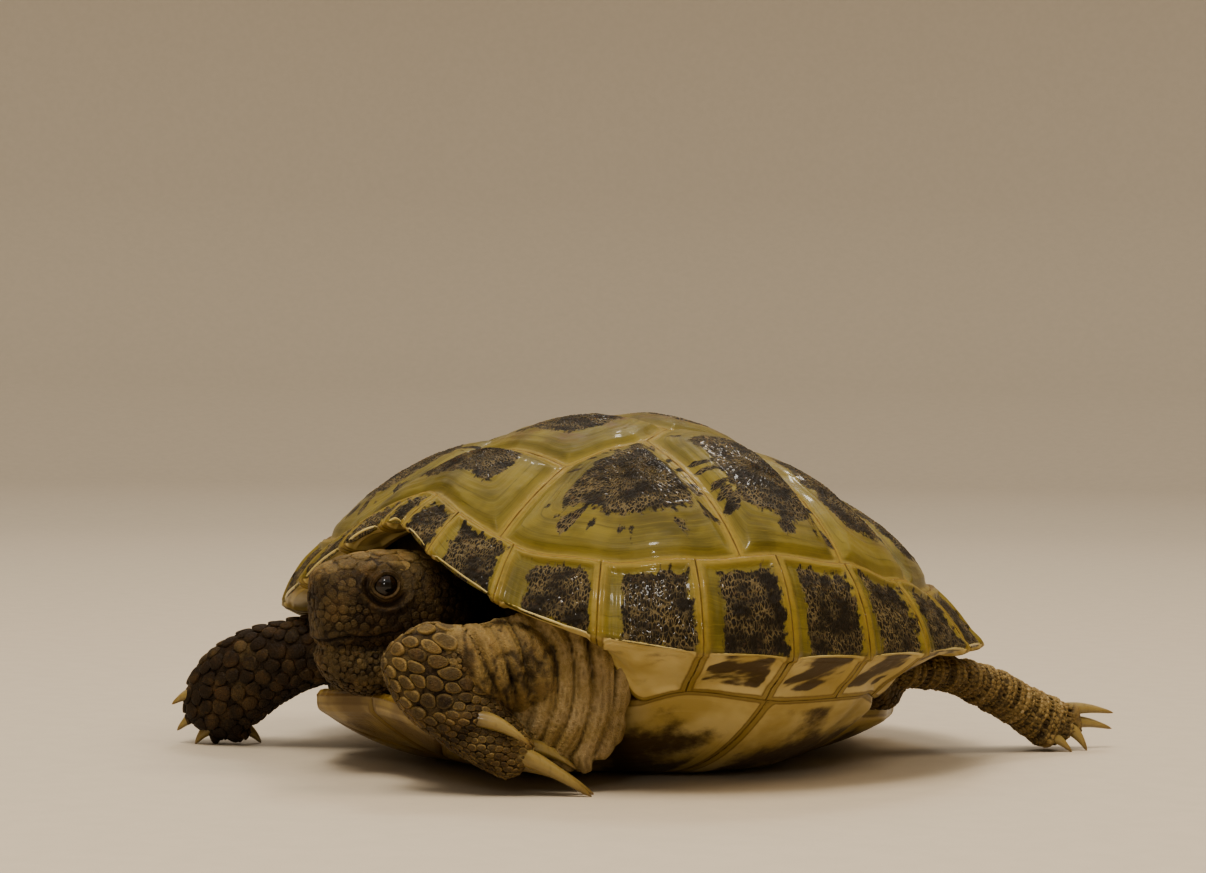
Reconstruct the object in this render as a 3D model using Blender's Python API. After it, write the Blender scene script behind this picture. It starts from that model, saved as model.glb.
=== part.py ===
"""Young Horsfield's tortoise resting on its belly, as a still life-size model.

Run with: blender --background --python part.py
The animal faces -Y, its left side is +X, and it rests on the plane Z = 0.
Everything is built in millimetres about the middle of the shell and scaled
to metres at the end.  Angles round the shell are measured from the nose,
0 in front and 180 at the tail, positive towards the animal's left.
"""
import math

import bmesh
import bpy
from mathutils import Vector

MM = 0.001
ORIGIN = Vector((0.0, 3.94, 0.0))     # middle of the floor area, from the shell's middle

# Shell, in millimetres
HALF_WIDTH = 41.0
FRONT_LENGTH = 35.4
REAR_LENGTH = 41.4
SHELL_TOP = 40.2
FRONT_SQUARENESS = 2.75
REAR_SQUARENESS = 2.1
NUCHAL_NOTCH = 1.8
RIM_SIDE_HEIGHT = 14.3
RIM_FRONT_RISE = 14.2
RIM_REAR_DROP = 2.0
RIM_RISE_ANGLE = 34.0      # how far round the rim stays raised over the head
SHELL_BEND = 1.75
# How steeply the shell meets its rim: angle, 1 for a straight slope, 2 for a round wall
SHELL_FULLNESS = ((0, 1.1), (30, 1.22), (46, 1.5), (61, 1.86), (75, 2.1), (90, 1.9),
                  (104, 1.5), (120, 1.16), (180, 1.05))
PLATE = 1.7               # thickness of a shell plate
GAP = 0.3                 # seam between two plates
CLEAR = 0.35              # space between flesh and what it meets
PLATE_LIFT = 0.75         # how far a plate domes above its seams
EDGE_DROP = 0.1

# Vertebral plates: seams along the back, with half widths
VERTEBRAL_SEAM_Y = (-33.0, -17.5, -1.5, 13.5, 25.0, 35.0)
VERTEBRAL_SEAM_HALF = (2.0, 10.0, 9.5, 9.0, 7.0, 9.0)
VERTEBRAL_MID_Y = (-28.0, -8.0, 6.0, 19.0)
VERTEBRAL_MID_HALF = (13.0, 13.0, 12.5, 11.0)
V1_RING = 25.0            # angle where the first vertebral meets the rim plates
V5_RING = 158.0
COSTAL_RING = (V1_RING, 69.0, 90.0, 112.0, V5_RING)
MARGINAL_SEAMS = (3.5, 13.5, 29.0, 46.0, 61.0, 75.0, 90.0, 104.0, 119.0, 136.0, 153.0, 170.0)
BRIDGE = (44.0, 54.0, 106.0, 116.0)   # the rim joins the belly between these angles
RIM_UNDERSIDE = 5.0
REAR_SERRATION = 0.8

# Belly plates
BELLY_FLAT = 0.5         # share of the belly that lies flat on the floor
BELLY_EDGE = ((0, 37.6), (16, 39.2), (28, 36.2), (42, 31.2), (54, 33.6), (75, 35.8),
              (95, 35.8), (108, 33.6), (122, 29.6), (140, 32.4), (164, 36.6), (180, 34.2))
BELLY_EDGE_HEIGHT = ((0, 8.0), (20, 7.2), (36, 4.6), (50, 9.6), (62, 11.0), (80, 9.8),
                     (100, 9.8), (112, 8.2), (126, 5.4), (150, 4.6), (180, 4.8))
BELLY_PLATES = (("gular", -37.6, -27.0, 0, 19), ("humeral", -27.0, -14.5, 19, 41),
                ("pectoral", -14.5, -7.5, 41, 76), ("abdominal", -7.5, 12.0, 76, 118),
                ("femoral", 12.0, 24.0, 118, 151), ("anal", 24.0, 34.2, 151, 180))

# Head, in its own frame: forward, half width, top, bottom
HEAD_CENTRE = Vector((-0.4, -33.7, 19.8))
HEAD_YAW = 16.0           # turned to the animal's right
HEAD_PITCH = -3.0
HEAD_SECTIONS = ((9.5, 2.2, 2.4, -3.2), (9.0, 3.2, 3.6, -4.7), (7.6, 4.0, 4.5, -5.6),
                 (5.0, 4.8, 5.2, -5.9), (2.2, 5.5, 5.5, -5.9), (-0.8, 6.2, 5.4, -5.9),
                 (-4.0, 6.6, 5.1, -5.8), (-7.0, 6.1, 4.5, -5.3), (-9.2, 5.1, 3.7, -4.5))
EYE_RADIUS = 1.9
EYE_PLACE = (2.2, 4.3, 1.7)          # forward, sideways, up from the head's centre

COLOURS = {
    "plate": (0.19, 0.16, 0.05), "rim": (0.16, 0.12, 0.045), "belly": (0.42, 0.33, 0.14),
    "skin": (0.20, 0.16, 0.07), "head": (0.15, 0.14, 0.08), "eye": (0.012, 0.010, 0.008),
}
ROUGHNESS = {"plate": 0.28, "rim": 0.35, "belly": 0.3, "skin": 0.6, "head": 0.5, "eye": 0.05}


def smooth(low, high, value):
    t = min(1.0, max(0.0, (value - low) / (high - low)))
    return t * t * (3.0 - 2.0 * t)


def table(points, value):
    """Smooth interpolation in a short table of (angle, size)."""
    for (a, u), (b, v) in zip(points, points[1:]):
        if value <= b:
            return u + (v - u) * smooth(a, b, value)
    return points[-1][1]


# ---------------------------------------------------------------- shell shape

def fold(angle):
    """Angle from the nose without its side, 0 to 180."""
    return abs((angle + 180.0) % 360.0 - 180.0)


def outline_radius(angle):
    """Rim of the shell seen from above, at an angle in degrees from the nose."""
    a = math.radians(angle)
    s, c = abs(math.sin(a)), math.cos(a)
    length, n = (FRONT_LENGTH, FRONT_SQUARENESS) if c > 0 else (REAR_LENGTH, REAR_SQUARENESS)
    radius = ((s / HALF_WIDTH) ** n + (abs(c) / length) ** n) ** (-1.0 / n)
    return radius - NUCHAL_NOTCH * math.exp(-(angle / 9.0) ** 2)


def rim_height(angle):
    c = math.cos(math.radians(angle))
    rise = math.exp(-(fold(angle) / RIM_RISE_ANGLE) ** 1.5)
    return RIM_SIDE_HEIGHT + RIM_FRONT_RISE * rise - RIM_REAR_DROP * ((1 - c) / 2) ** 8


def ring_share(angle):
    """Where the rim plates begin, as a share of the way out to the rim."""
    c = math.cos(math.radians(angle))
    return 0.92 - 0.062 * ((1 + c) / 2) ** 3.5 - 0.07 * ((1 - c) / 2) ** 2.5


def shell_height(x, y):
    angle = math.degrees(math.atan2(x, -y))
    share = min(1.0, math.hypot(x, y) / outline_radius(angle))
    low = rim_height(angle)
    fullness = table(SHELL_FULLNESS, fold(angle))
    return low + (SHELL_TOP - low) * (1.0 - share ** SHELL_BEND) ** (1.0 / fullness)


def shell_point(x, y):
    return Vector((x, y, shell_height(x, y)))


def shell_normal(x, y):
    step = 0.2
    dx = (shell_height(x + step, y) - shell_height(x - step, y)) / (2 * step)
    dy = (shell_height(x, y + step) - shell_height(x, y - step)) / (2 * step)
    return Vector((-dx, -dy, 1.0)).normalized()


def polar(angle, radius):
    a = math.radians(angle)
    return (radius * math.sin(a), -radius * math.cos(a))


def on_ring(angle):
    return polar(angle, ring_share(angle) * outline_radius(angle))


def belly_radius(angle):
    return table(BELLY_EDGE, fold(angle))


def belly_height(x, y):
    angle = abs(math.degrees(math.atan2(x, -y)))
    share = math.hypot(x, y) / belly_radius(angle)
    rise = max(0.0, (share - BELLY_FLAT) / (1.0 - BELLY_FLAT))
    return table(BELLY_EDGE_HEIGHT, angle) * rise ** 2


# ---------------------------------------------------------------- mesh helpers

def between(a, b, steps):
    """Points from a towards b, without b."""
    return [(a[0] + (b[0] - a[0]) * i / steps, a[1] + (b[1] - a[1]) * i / steps)
            for i in range(steps)]


def arc(a, b, steps, point):
    return [point(a + (b - a) * i / steps) for i in range(steps)]


def mirrored(outline):
    return [(-x, y) for x, y in reversed(outline)]


def centroid(outline):
    """Middle of the area inside a closed outline."""
    area = x_sum = y_sum = 0.0
    for (x0, y0), (x1, y1) in zip(outline, outline[1:] + outline[:1]):
        cross = x0 * y1 - x1 * y0
        area += cross / 2
        x_sum += (x0 + x1) * cross / 6
        y_sum += (y0 + y1) * cross / 6
    return x_sum / area, y_sum / area


def new_object(name, bm, kind, collection):
    bmesh.ops.recalc_face_normals(bm, faces=bm.faces)
    for vert in bm.verts:
        vert.co = (vert.co - ORIGIN) * MM
    mesh = bpy.data.meshes.new(name)
    bm.to_mesh(mesh)
    bm.free()
    obj = bpy.data.objects.new(name, mesh)
    collection.objects.link(obj)
    if kind:
        mesh.materials.append(MATERIALS[kind])
    return obj


def rings_to_solid(rings, bm=None):
    """Closed solid from rings of points; the end rings are closed by fans."""
    bm = bm or bmesh.new()
    loops = [[bm.verts.new(p) for p in ring] for ring in rings]
    for low, high in zip(loops, loops[1:]):
        for i in range(len(low)):
            j = (i + 1) % len(low)
            bm.faces.new((low[i], low[j], high[j], high[i]))
    for ring, points in ((loops[0], rings[0]), (loops[-1], rings[-1])):
        tip = bm.verts.new(sum((Vector(p) for p in points), Vector()) / len(points))
        for i in range(len(ring)):
            bm.faces.new((ring[i], ring[(i + 1) % len(ring)], tip))
    return bm


def catmull(points, steps):
    """Smooth curve of tuples through a few points, steps per span."""
    rows = [tuple(p) for p in points]
    rows = [rows[0]] + rows + [rows[-1]]
    out = []
    for k in range(1, len(rows) - 2):
        p0, p1, p2, p3 = rows[k - 1:k + 3]
        for i in range(steps):
            t = i / steps
            out.append(tuple(
                0.5 * (2 * b + (c - a) * t + (2 * a - 5 * b + 4 * c - d) * t * t
                       + (3 * b - a - 3 * c + d) * t ** 3)
                for a, b, c, d in zip(p0, p1, p2, p3)))
    out.append(rows[-2])
    return out


def tube(stations, side, segments=14, steps=2, floor=None):
    """Solid round a path. Each station is x, y, z, half width, half depth;
    side is the direction of the width."""
    rows = catmull(stations, steps)
    centres = [Vector(r[:3]) for r in rows]
    rings = []
    for i, row in enumerate(rows):
        ahead = centres[min(i + 1, len(rows) - 1)] - centres[max(i - 1, 0)]
        across = side - ahead * side.dot(ahead) / ahead.dot(ahead)
        across.normalize()
        up = ahead.cross(across).normalized()
        ring = []
        for k in range(segments):
            a = 2 * math.pi * k / segments
            point = centres[i] + across * row[3] * math.cos(a) + up * row[4] * math.sin(a)
            if floor is not None and point.z < floor:
                point.z = floor
            ring.append(point)
        rings.append(ring)
    return rings


def plate(name, outline, point, normal, kind, collection, rings=((0.86, 0.8), (0.45, 1.0)),
          lift=PLATE_LIFT, thickness=PLATE):
    """Domed plate on a surface: point and normal take x and y."""
    n = len(outline)
    middle = centroid(outline)
    centre = point(*middle)
    rim = []
    for i, p in enumerate(outline):
        here, up = point(*p), normal(*p)
        edges = [up.cross(here - point(*outline[i - 1])).normalized(),
                 up.cross(point(*outline[(i + 1) % n]) - here).normalized()]
        inward = (edges[0] + edges[1]).normalized()
        inward /= max(0.5, inward.dot(edges[0]))
        if inward.dot(centre - here) < 0:
            inward.negate()
        rim.append((here + inward * GAP / 2, up))
    bm = bmesh.new()

    def surface(share, height):
        out = []
        for place, up in rim:
            x = middle[0] + (place.x - middle[0]) * share
            y = middle[1] + (place.y - middle[1]) * share
            out.append(bm.verts.new(point(x, y) + normal(x, y) * height))
        return out

    edge = [bm.verts.new(p - up * EDGE_DROP) for p, up in rim]
    top = [edge] + [surface(share, lift * part) for share, part in rings]
    inner = [[bm.verts.new(p - up * thickness) for p, up in rim], surface(0.5, -thickness)]
    crown = bm.verts.new(centre + normal(*middle) * lift)
    floor = bm.verts.new(centre - normal(*middle) * thickness)
    for low, high in list(zip(top, top[1:])) + [(edge, inner[0]), (inner[0], inner[1])]:
        for i in range(n):
            j = (i + 1) % n
            bm.faces.new((low[i], low[j], high[j], high[i]))
    for ring, tip in ((top[-1], crown), (inner[-1], floor)):
        for i in range(n):
            bm.faces.new((ring[i], ring[(i + 1) % n], tip))
    return new_object(name, bm, kind, collection)


# ---------------------------------------------------------------- shell plates

def vertebral_outline(index):
    """Half of the plate from the front of the midline to its back, then mirrored."""
    y0, y1 = VERTEBRAL_SEAM_Y[index], VERTEBRAL_SEAM_Y[index + 1]
    w0, w1 = VERTEBRAL_SEAM_HALF[index], VERTEBRAL_SEAM_HALF[index + 1]
    if index == 0:
        half = arc(0, V1_RING, 5, on_ring) + between(on_ring(V1_RING), (w1, y1), 3)
    else:
        half = between((0, y0), (w0, y0), 2)
        if index < 4:
            mid = (VERTEBRAL_MID_HALF[index], VERTEBRAL_MID_Y[index])
            half += between((w0, y0), mid, 3) + between(mid, (w1, y1), 3)
        else:
            half += between((w0, y0), on_ring(V5_RING), 3) + arc(V5_RING, 180, 3, on_ring)
    if index < 4:
        half += between((w1, y1), (0, y1), 2) + [(0, y1)]
    else:
        half += [on_ring(180)]
    return half + mirrored(half)[1:-1]


def costal_outline(index):
    """Costal plates 1 to 4 of the left side."""
    corners = [on_ring(V1_RING)]
    for k in range(1, 4):
        corners += [(VERTEBRAL_SEAM_HALF[k], VERTEBRAL_SEAM_Y[k]),
                    (VERTEBRAL_MID_HALF[k], VERTEBRAL_MID_Y[k])]
    corners += [(VERTEBRAL_SEAM_HALF[4], VERTEBRAL_SEAM_Y[4]), on_ring(V5_RING)]
    front, seam, back = corners[2 * index:2 * index + 3]
    a, b = COSTAL_RING[index:index + 2]
    out = arc(a, b, 8 if index == 0 else 5, on_ring)
    if index < 3:
        out += between(on_ring(b), back, 4)
    out += between(back, seam, 3) + between(seam, front, 3)
    if index > 0:
        out += between(front, on_ring(a), 4)
    return out


def marginal(name, start, end, collection, slices=3):
    """Rim plate between two angles: outer face, edge, underside and inside."""
    rings = []
    for i in range(slices + 1):
        share = i / slices
        angle = start + (end - start) * share
        size = fold(angle)
        radius = outline_radius(angle)
        trim = math.degrees(GAP / 2 / radius)
        if i == 0:
            angle += trim
        if i == slices:
            angle -= trim
        tooth = share if abs(end) > abs(start) else 1 - share
        edge = radius + REAR_SERRATION * smooth(90, 135, size) * (tooth ** 2 - 0.3)
        edge += 0.35 * math.sin(math.pi * share)
        top = ring_share(angle) * radius + GAP / 2
        bridge = smooth(BRIDGE[0], BRIDGE[1], size) * (1 - smooth(BRIDGE[2], BRIDGE[3], size))
        low = rim_height(angle)
        free = radius - RIM_UNDERSIDE
        under = free + (belly_radius(angle) + GAP - free) * bridge
        under_low = low - 0.2 + (table(BELLY_EDGE_HEIGHT, size) - low + 0.2) * bridge

        def at(r, z):
            x, y = polar(angle, r)
            return Vector((x, y, z))

        def face(r, lift):
            x, y = polar(angle, r)
            return shell_point(x, y) + shell_normal(x, y) * lift

        swell = 0.45 * (0.4 + 0.6 * math.sin(math.pi * share))
        heel, brow = at(under, under_low + PLATE), face(top, -PLATE)
        inside = ((heel + brow) / 2).lerp(at(radius - 2.9, low + 1.3), bridge)
        rings.append([
            face(top, -EDGE_DROP), face(top + (radius - top) * 0.45, swell),
            face(top + (radius - top) * 0.85, swell * 0.8), at(edge + 0.2, low),
            at(edge - 0.9, low - 0.5 - 0.5 * bridge), at(under, under_low),
            heel, inside, brow])
    bm = bmesh.new()
    loops = [[bm.verts.new(p) for p in ring] for ring in rings]
    for low_ring, high_ring in zip(loops, loops[1:]):
        for i in range(len(low_ring)):
            j = (i + 1) % len(low_ring)
            bm.faces.new((low_ring[i], low_ring[j], high_ring[j], high_ring[i]))
    bm.faces.new(loops[0])
    bm.faces.new(loops[-1])
    return new_object(name, bm, "rim", collection)


def belly_point(x, y):
    return Vector((x, y, belly_height(x, y)))


def belly_normal(x, y):
    return Vector((0, 0, -1))


def belly_outline(row):
    _, y0, y1, a, b = row

    def edge(angle):
        return polar(angle, belly_radius(angle))

    steps = max(3, round((b - a) / 8))
    out = [] if a == 0 else between((0, y0), edge(a), 3)
    out += arc(a, b, steps, edge) + [edge(b)]
    if b < 180:
        out += between(edge(b), (0, y1), 3)[1:]
        out += [(0, y1)]
    out += between((0, y1), (0, y0), 2)[1:]
    return out


def build_shell(collection):
    for index in range(5):
        plate(f"vertebral_{index + 1}", vertebral_outline(index), shell_point, shell_normal,
              "plate", collection)
    for index in range(4):
        outline = costal_outline(index)
        plate(f"costal_left_{index + 1}", outline, shell_point, shell_normal, "plate", collection)
        plate(f"costal_right_{index + 1}", mirrored(outline), shell_point, shell_normal,
              "plate", collection)
    marginal("nuchal", -MARGINAL_SEAMS[0], MARGINAL_SEAMS[0], collection, slices=2)
    for index, (a, b) in enumerate(zip(MARGINAL_SEAMS, MARGINAL_SEAMS[1:])):
        marginal(f"marginal_left_{index + 1}", a, b, collection)
        marginal(f"marginal_right_{index + 1}", -b, -a, collection)
    marginal("supracaudal", MARGINAL_SEAMS[-1], 360 - MARGINAL_SEAMS[-1], collection)
    for row in BELLY_PLATES:
        outline = belly_outline(row)
        for side, points in (("left", outline), ("right", mirrored(outline))):
            plate(f"{row[0]}_{side}", points, belly_point, belly_normal, "belly", collection,
                  rings=((0.9, 1.0),), lift=0.0, thickness=2.0)


# ---------------------------------------------------------------- flesh

# Trunk wall between the two shells: angle, how far out the wall stands
TRUNK_WALL = ((0, 20.0), (18, 23.5), (32, 27.5), (46, 29.8), (58, 33.0), (100, 33.0),
              (118, 27.5), (140, 28.5), (165, 29.5), (180, 29.5))
TRUNK_TURNS = 36

# Limbs: x, y, z, half width, half depth; right-hand ones have negative x
NEAR_UPPER_ARM = ((17.0, -18.0, 13.4, 5.0, 4.2), (20.0, -25.6, 13.4, 5.0, 4.2),
                  (18.6, -33.0, 13.6, 4.8, 4.0), (15.0, -39.4, 14.2, 4.2, 3.4))
NEAR_FOREARM = ((13.4, -41.8, 17.2, 2.4, 2.2), (14.0, -41.2, 15.8, 4.4, 3.3),
                (15.6, -39.2, 11.8, 4.9, 3.5), (18.4, -36.2, 7.6, 4.2, 3.1),
                (20.8, -33.4, 4.6, 3.3, 2.6), (22.0, -32.0, 3.1, 2.4, 1.9))
FAR_ARM = ((-15.0, -17.0, 13.4, 4.4, 4.0), (-20.0, -23.6, 13.2, 4.2, 4.0),
           (-25.0, -28.6, 11.8, 4.4, 4.0), (-30.2, -31.6, 9.8, 5.3, 4.0),
           (-34.2, -33.6, 7.0, 5.6, 3.8), (-36.0, -34.2, 4.4, 5.2, 3.4),
           (-36.4, -34.2, 2.0, 4.2, 2.9))
NEAR_HINDLEG = ((17.0, 12.0, 11.4, 5.0, 3.2), (23.6, 21.0, 11.0, 4.4, 2.6),
                (25.8, 29.0, 10.0, 3.5, 2.5), (26.2, 36.0, 7.8, 3.1, 3.0),
                (27.0, 41.0, 5.35, 3.0, 3.2), (27.6, 45.0, 3.2, 3.3, 3.7),
                (27.9, 47.4, 2.4, 2.7, 2.5))
FAR_HINDLEG = ((-17.0, 12.0, 11.4, 5.0, 3.4), (-23.8, 21.0, 10.8, 4.4, 2.9),
               (-28.4, 28.0, 8.6, 3.4, 3.0), (-30.6, 29.4, 5.2, 3.3, 3.1),
               (-31.2, 29.2, 2.2, 3.5, 3.3), (-31.2, 29.2, 0.0, 3.2, 3.0))
NECK = ((-0.4, -13.0, 16.0, 6.4, 5.8), (-0.2, -20.0, 16.4, 6.2, 6.2),
        (-0.2, -28.0, 17.2, 5.4, 6.2))
TAIL = ((0.0, 24.0, 10.6, 3.4, 2.4), (1.2, 31.0, 10.5, 2.9, 2.2), (3.4, 37.2, 8.6, 2.1, 1.8),
        (5.0, 40.8, 6.2, 1.0, 0.9))
# Claws: root, tip, radius at the root
NEAR_HAND_CLAWS = (((20.0, -37.6, 8.2), (24.5, -33.5, 5.8), 1.15),
                   ((20.6, -35.0, 4.9), (26.8, -26.9, -0.15), 1.35),
                   ((21.6, -32.6, 3.4), (25.6, -25.6, -0.15), 1.1),
                   ((21.0, -31.4, 5.0), (23.8, -26.6, 2.6), 1.0))
FAR_HAND_CLAWS = (((-37.0, -36.4, 6.0), (-39.0, -39.4, 4.9), 1.0),
                  ((-37.2, -35.6, 3.4), (-39.4, -38.4, 1.6), 1.1),
                  ((-36.4, -34.4, 1.8), (-37.8, -36.8, -0.15), 1.1),
                  ((-34.4, -32.8, 1.8), (-34.2, -29.6, -0.15), 1.0))
NEAR_FOOT_CLAWS = (((28.6, 45.6, 4.6), (31.4, 52.6, 4.4), 1.0),
                   ((28.6, 46.4, 3.0), (31.0, 52.8, 2.4), 1.0),
                   ((29.0, 45.9, 2.9), (31.0, 48.2, -0.15), 1.0),
                   ((28.6, 42.9, 1.9), (30.8, 45.6, -0.15), 0.95))
FAR_FOOT_CLAWS = tuple(((-31.2 + dx, 27.0, 1.2), (-31.2 + 1.5 * dx, 21.4, 0.3), 0.95)
                       for dx in (-2.6, -0.9, 0.9, 2.6))
CLAW_SIDES = 6


def trunk(name, grow, collection, kind="skin"):
    """Body inside the shell; grow makes the cutter that parts the limbs from it."""
    skin = PLATE + 1.1 - grow
    belly = 2.0 + 1.8 - grow
    rows = (0.35, 0.6, 0.78)
    rings = [[] for _ in range(8)]
    for i in range(TRUNK_TURNS):
        angle = 360.0 * i / TRUNK_TURNS - 180.0
        wall = table(TRUNK_WALL, fold(angle)) + grow
        radius = outline_radius(angle)
        for k, share in enumerate(rows):
            x, y = polar(angle, min(share * radius, wall - 1.0 + 0.4 * k))
            rings[k].append(shell_point(x, y) - shell_normal(x, y) * skin)
        x, y = polar(angle, wall)
        roof = min(rings[2][-1].z - 0.8, shell_height(x, y) - skin - 0.6)
        low = belly_height(x * 0.97, y * 0.97) + belly
        rings[3].append(Vector((x, y, roof - 1.2)))
        rings[4].append(Vector((x, y, (roof + low) / 2)))
        rings[5].append(Vector((x * 0.98, y * 0.98, low + 1.0)))
        for k, share in ((6, 0.85), (7, 0.4)):
            x, y = polar(angle, share * min(wall, belly_radius(angle) - 1.0))
            rings[k].append(Vector((x, y, belly_height(x, y) + belly)))
    return new_object(name, rings_to_solid(rings), kind, collection)


def cone(bm, root, tip, radius):
    """A claw: round, a little bent, sharp at the tip."""
    root, tip = Vector(root), Vector(tip)
    along = (tip - root).normalized()
    across = along.cross(Vector((0, 0, 1))).normalized()
    up = across.cross(along)
    rings = []
    for share, size in ((-0.12, 0.9), (0.25, 1.0), (0.65, 0.62), (0.97, 0.2)):
        centre = root.lerp(tip, share) + up * radius * 0.9 * math.sin(math.pi * max(share, 0))
        ring = []
        for k in range(CLAW_SIDES):
            a = 2 * math.pi * k / CLAW_SIDES
            point = centre + (across * math.cos(a) + up * math.sin(a)) * radius * size
            point.z = max(point.z, 0.0)
            ring.append(point)
        rings.append(ring)
    rings_to_solid(rings, bm)


def cutter(name, bm):
    obj = new_object(name, bm, None, CUTTERS)
    obj.display_type = "WIRE"
    obj.hide_render = True
    return obj


def combine(obj, other, operation):
    mod = obj.modifiers.new(operation.lower() + "_" + other.name, "BOOLEAN")
    mod.operation = operation
    mod.solver = "EXACT"
    mod.use_self = operation == "UNION"
    mod.object = other


def limb(name, stations, side, claws, body, collection, extra=None, segments=14, steps=2):
    obj = new_object(name, rings_to_solid(tube(stations, side, segments, steps, floor=0.0)),
                     "skin", collection)
    if extra:
        combine(obj, cutter(name + "_upper", rings_to_solid(
            tube(extra, Vector((0, 0, 1)), segments, steps))), "UNION")
    if claws:
        bm = bmesh.new()
        for claw in claws:
            cone(bm, *claw)
        combine(obj, cutter(name + "_claws", bm), "UNION")
    combine(obj, body, "DIFFERENCE")
    return obj


def head_frame():
    yaw, pitch = math.radians(HEAD_YAW), math.radians(HEAD_PITCH)
    ahead = Vector((-math.sin(yaw) * math.cos(pitch), -math.cos(yaw) * math.cos(pitch),
                    math.sin(pitch)))
    left = ahead.cross(Vector((0, 0, 1))).normalized() * -1.0
    return ahead, left, left.cross(ahead).normalized() * -1.0


def head_point(forward, sideways, up):
    ahead, left, top = head_frame()
    return HEAD_CENTRE + ahead * forward + left * sideways + top * up


def head_rings(grow=0.0, segments=20):
    """Cross-sections from the beak to the back of the skull, squarish at the cheeks."""
    rings = []
    for forward, half, top, bottom in HEAD_SECTIONS:
        ring = []
        for k in range(segments):
            a = 2 * math.pi * k / segments
            c, s = math.cos(a), math.sin(a)
            reach = (abs(c) ** 2.4 + abs(s) ** 2.4) ** (-1 / 2.4)
            height = (top if s > 0 else -bottom) + grow
            ring.append(head_point(forward + math.copysign(grow, forward),
                                   c * reach * (half + grow), s * reach * height))
        rings.append(ring)
    return rings


def ball(centre, radius, rings=8, segments=12):
    rows = []
    for i in range(1, rings):
        a = math.pi * i / rings
        rows.append([centre + Vector((math.sin(a) * math.cos(b), math.sin(a) * math.sin(b),
                                      math.cos(a))) * radius
                     for b in (2 * math.pi * k / segments for k in range(segments))])
    return rings_to_solid(rows)


def build_flesh(collection):
    trunk("trunk", 0.0, collection)
    body = trunk("trunk_space", CLEAR, CUTTERS, None)
    body.display_type, body.hide_render = "WIRE", True

    head = new_object("head", rings_to_solid(head_rings()), "head", collection)
    head_space = cutter("head_space", rings_to_solid(head_rings(grow=CLEAR)))
    neck = new_object("neck", rings_to_solid(tube(NECK, Vector((1, 0, 0)), 16, 2)), "skin",
                      collection)
    combine(neck, body, "DIFFERENCE")
    combine(neck, head_space, "DIFFERENCE")
    for side, sign in (("left", 1), ("right", -1)):
        forward, across, up = EYE_PLACE
        centre = head_point(forward, sign * across, up)
        new_object("eye_" + side, ball(centre, EYE_RADIUS), "eye", collection)
        combine(head, cutter("socket_" + side, ball(centre, EYE_RADIUS + GAP, 8, 12)),
                "DIFFERENCE")

    limb("foreleg_left", NEAR_FOREARM, Vector((0.46, 0.62, 0.63)), NEAR_HAND_CLAWS, body,
         collection, extra=NEAR_UPPER_ARM)
    limb("foreleg_right", FAR_ARM, Vector((-0.31, -0.37, 0.79)), FAR_HAND_CLAWS, body, collection)
    limb("hindleg_left", NEAR_HINDLEG, Vector((1, 0, 0)), NEAR_FOOT_CLAWS, body, collection)
    limb("hindleg_right", FAR_HINDLEG, Vector((1, 0.4, 0)), FAR_FOOT_CLAWS, body, collection)
    tail = new_object("tail", rings_to_solid(tube(TAIL, Vector((1, 0, 0)), 10, 2)), "skin",
                      collection)
    combine(tail, body, "DIFFERENCE")


# ---------------------------------------------------------------- build

for old in list(bpy.data.objects):
    bpy.data.objects.remove(old, do_unlink=True)

MATERIALS = {}
for kind, colour in COLOURS.items():
    material = bpy.data.materials.new(kind)
    material.use_nodes = True
    shader = material.node_tree.nodes["Principled BSDF"]
    shader.inputs["Base Color"].default_value = (*colour, 1.0)
    shader.inputs["Roughness"].default_value = ROUGHNESS[kind]
    shader.inputs["Metallic"].default_value = 0.0
    MATERIALS[kind] = material

TORTOISE = bpy.data.collections.new("horsfields_tortoise")
CUTTERS = bpy.data.collections.new("cutters")
for group in (TORTOISE, CUTTERS):
    bpy.context.scene.collection.children.link(group)

build_shell(TORTOISE)
build_flesh(TORTOISE)
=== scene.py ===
"""Looks of a young steppe tortoise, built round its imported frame.

All shapes are worked out in millimetres about the middle of the shell, as the
frame's own solids are, and moved to the row frame in metres at the end.
The animal faces -Y and its left side is +X.  Angles round the shell are
measured from the nose, 0 in front and 180 at the tail, positive to the left.
"""
import math
from collections import namedtuple

import bmesh
import bpy
import numpy as np
from mathutils import Matrix, Vector
from mathutils.bvhtree import BVHTree
from mathutils.kdtree import KDTree


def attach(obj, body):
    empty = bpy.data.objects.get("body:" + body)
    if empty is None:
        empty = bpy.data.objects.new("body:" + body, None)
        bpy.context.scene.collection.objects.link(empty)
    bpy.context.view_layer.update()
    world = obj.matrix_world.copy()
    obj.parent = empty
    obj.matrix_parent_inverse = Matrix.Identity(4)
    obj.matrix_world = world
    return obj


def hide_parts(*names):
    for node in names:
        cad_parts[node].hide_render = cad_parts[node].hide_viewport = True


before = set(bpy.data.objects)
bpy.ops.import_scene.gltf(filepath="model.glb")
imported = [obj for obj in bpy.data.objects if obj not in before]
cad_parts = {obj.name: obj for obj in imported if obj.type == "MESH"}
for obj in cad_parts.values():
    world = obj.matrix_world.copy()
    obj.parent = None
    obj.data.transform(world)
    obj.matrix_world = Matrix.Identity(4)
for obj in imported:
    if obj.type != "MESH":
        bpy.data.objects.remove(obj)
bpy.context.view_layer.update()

MM = 0.001
ORIGIN = np.array([0.0, 3.94, 0.0])     # middle of the floor area, from the shell's middle

# ---------------------------------------------------------------- shell shape

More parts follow.
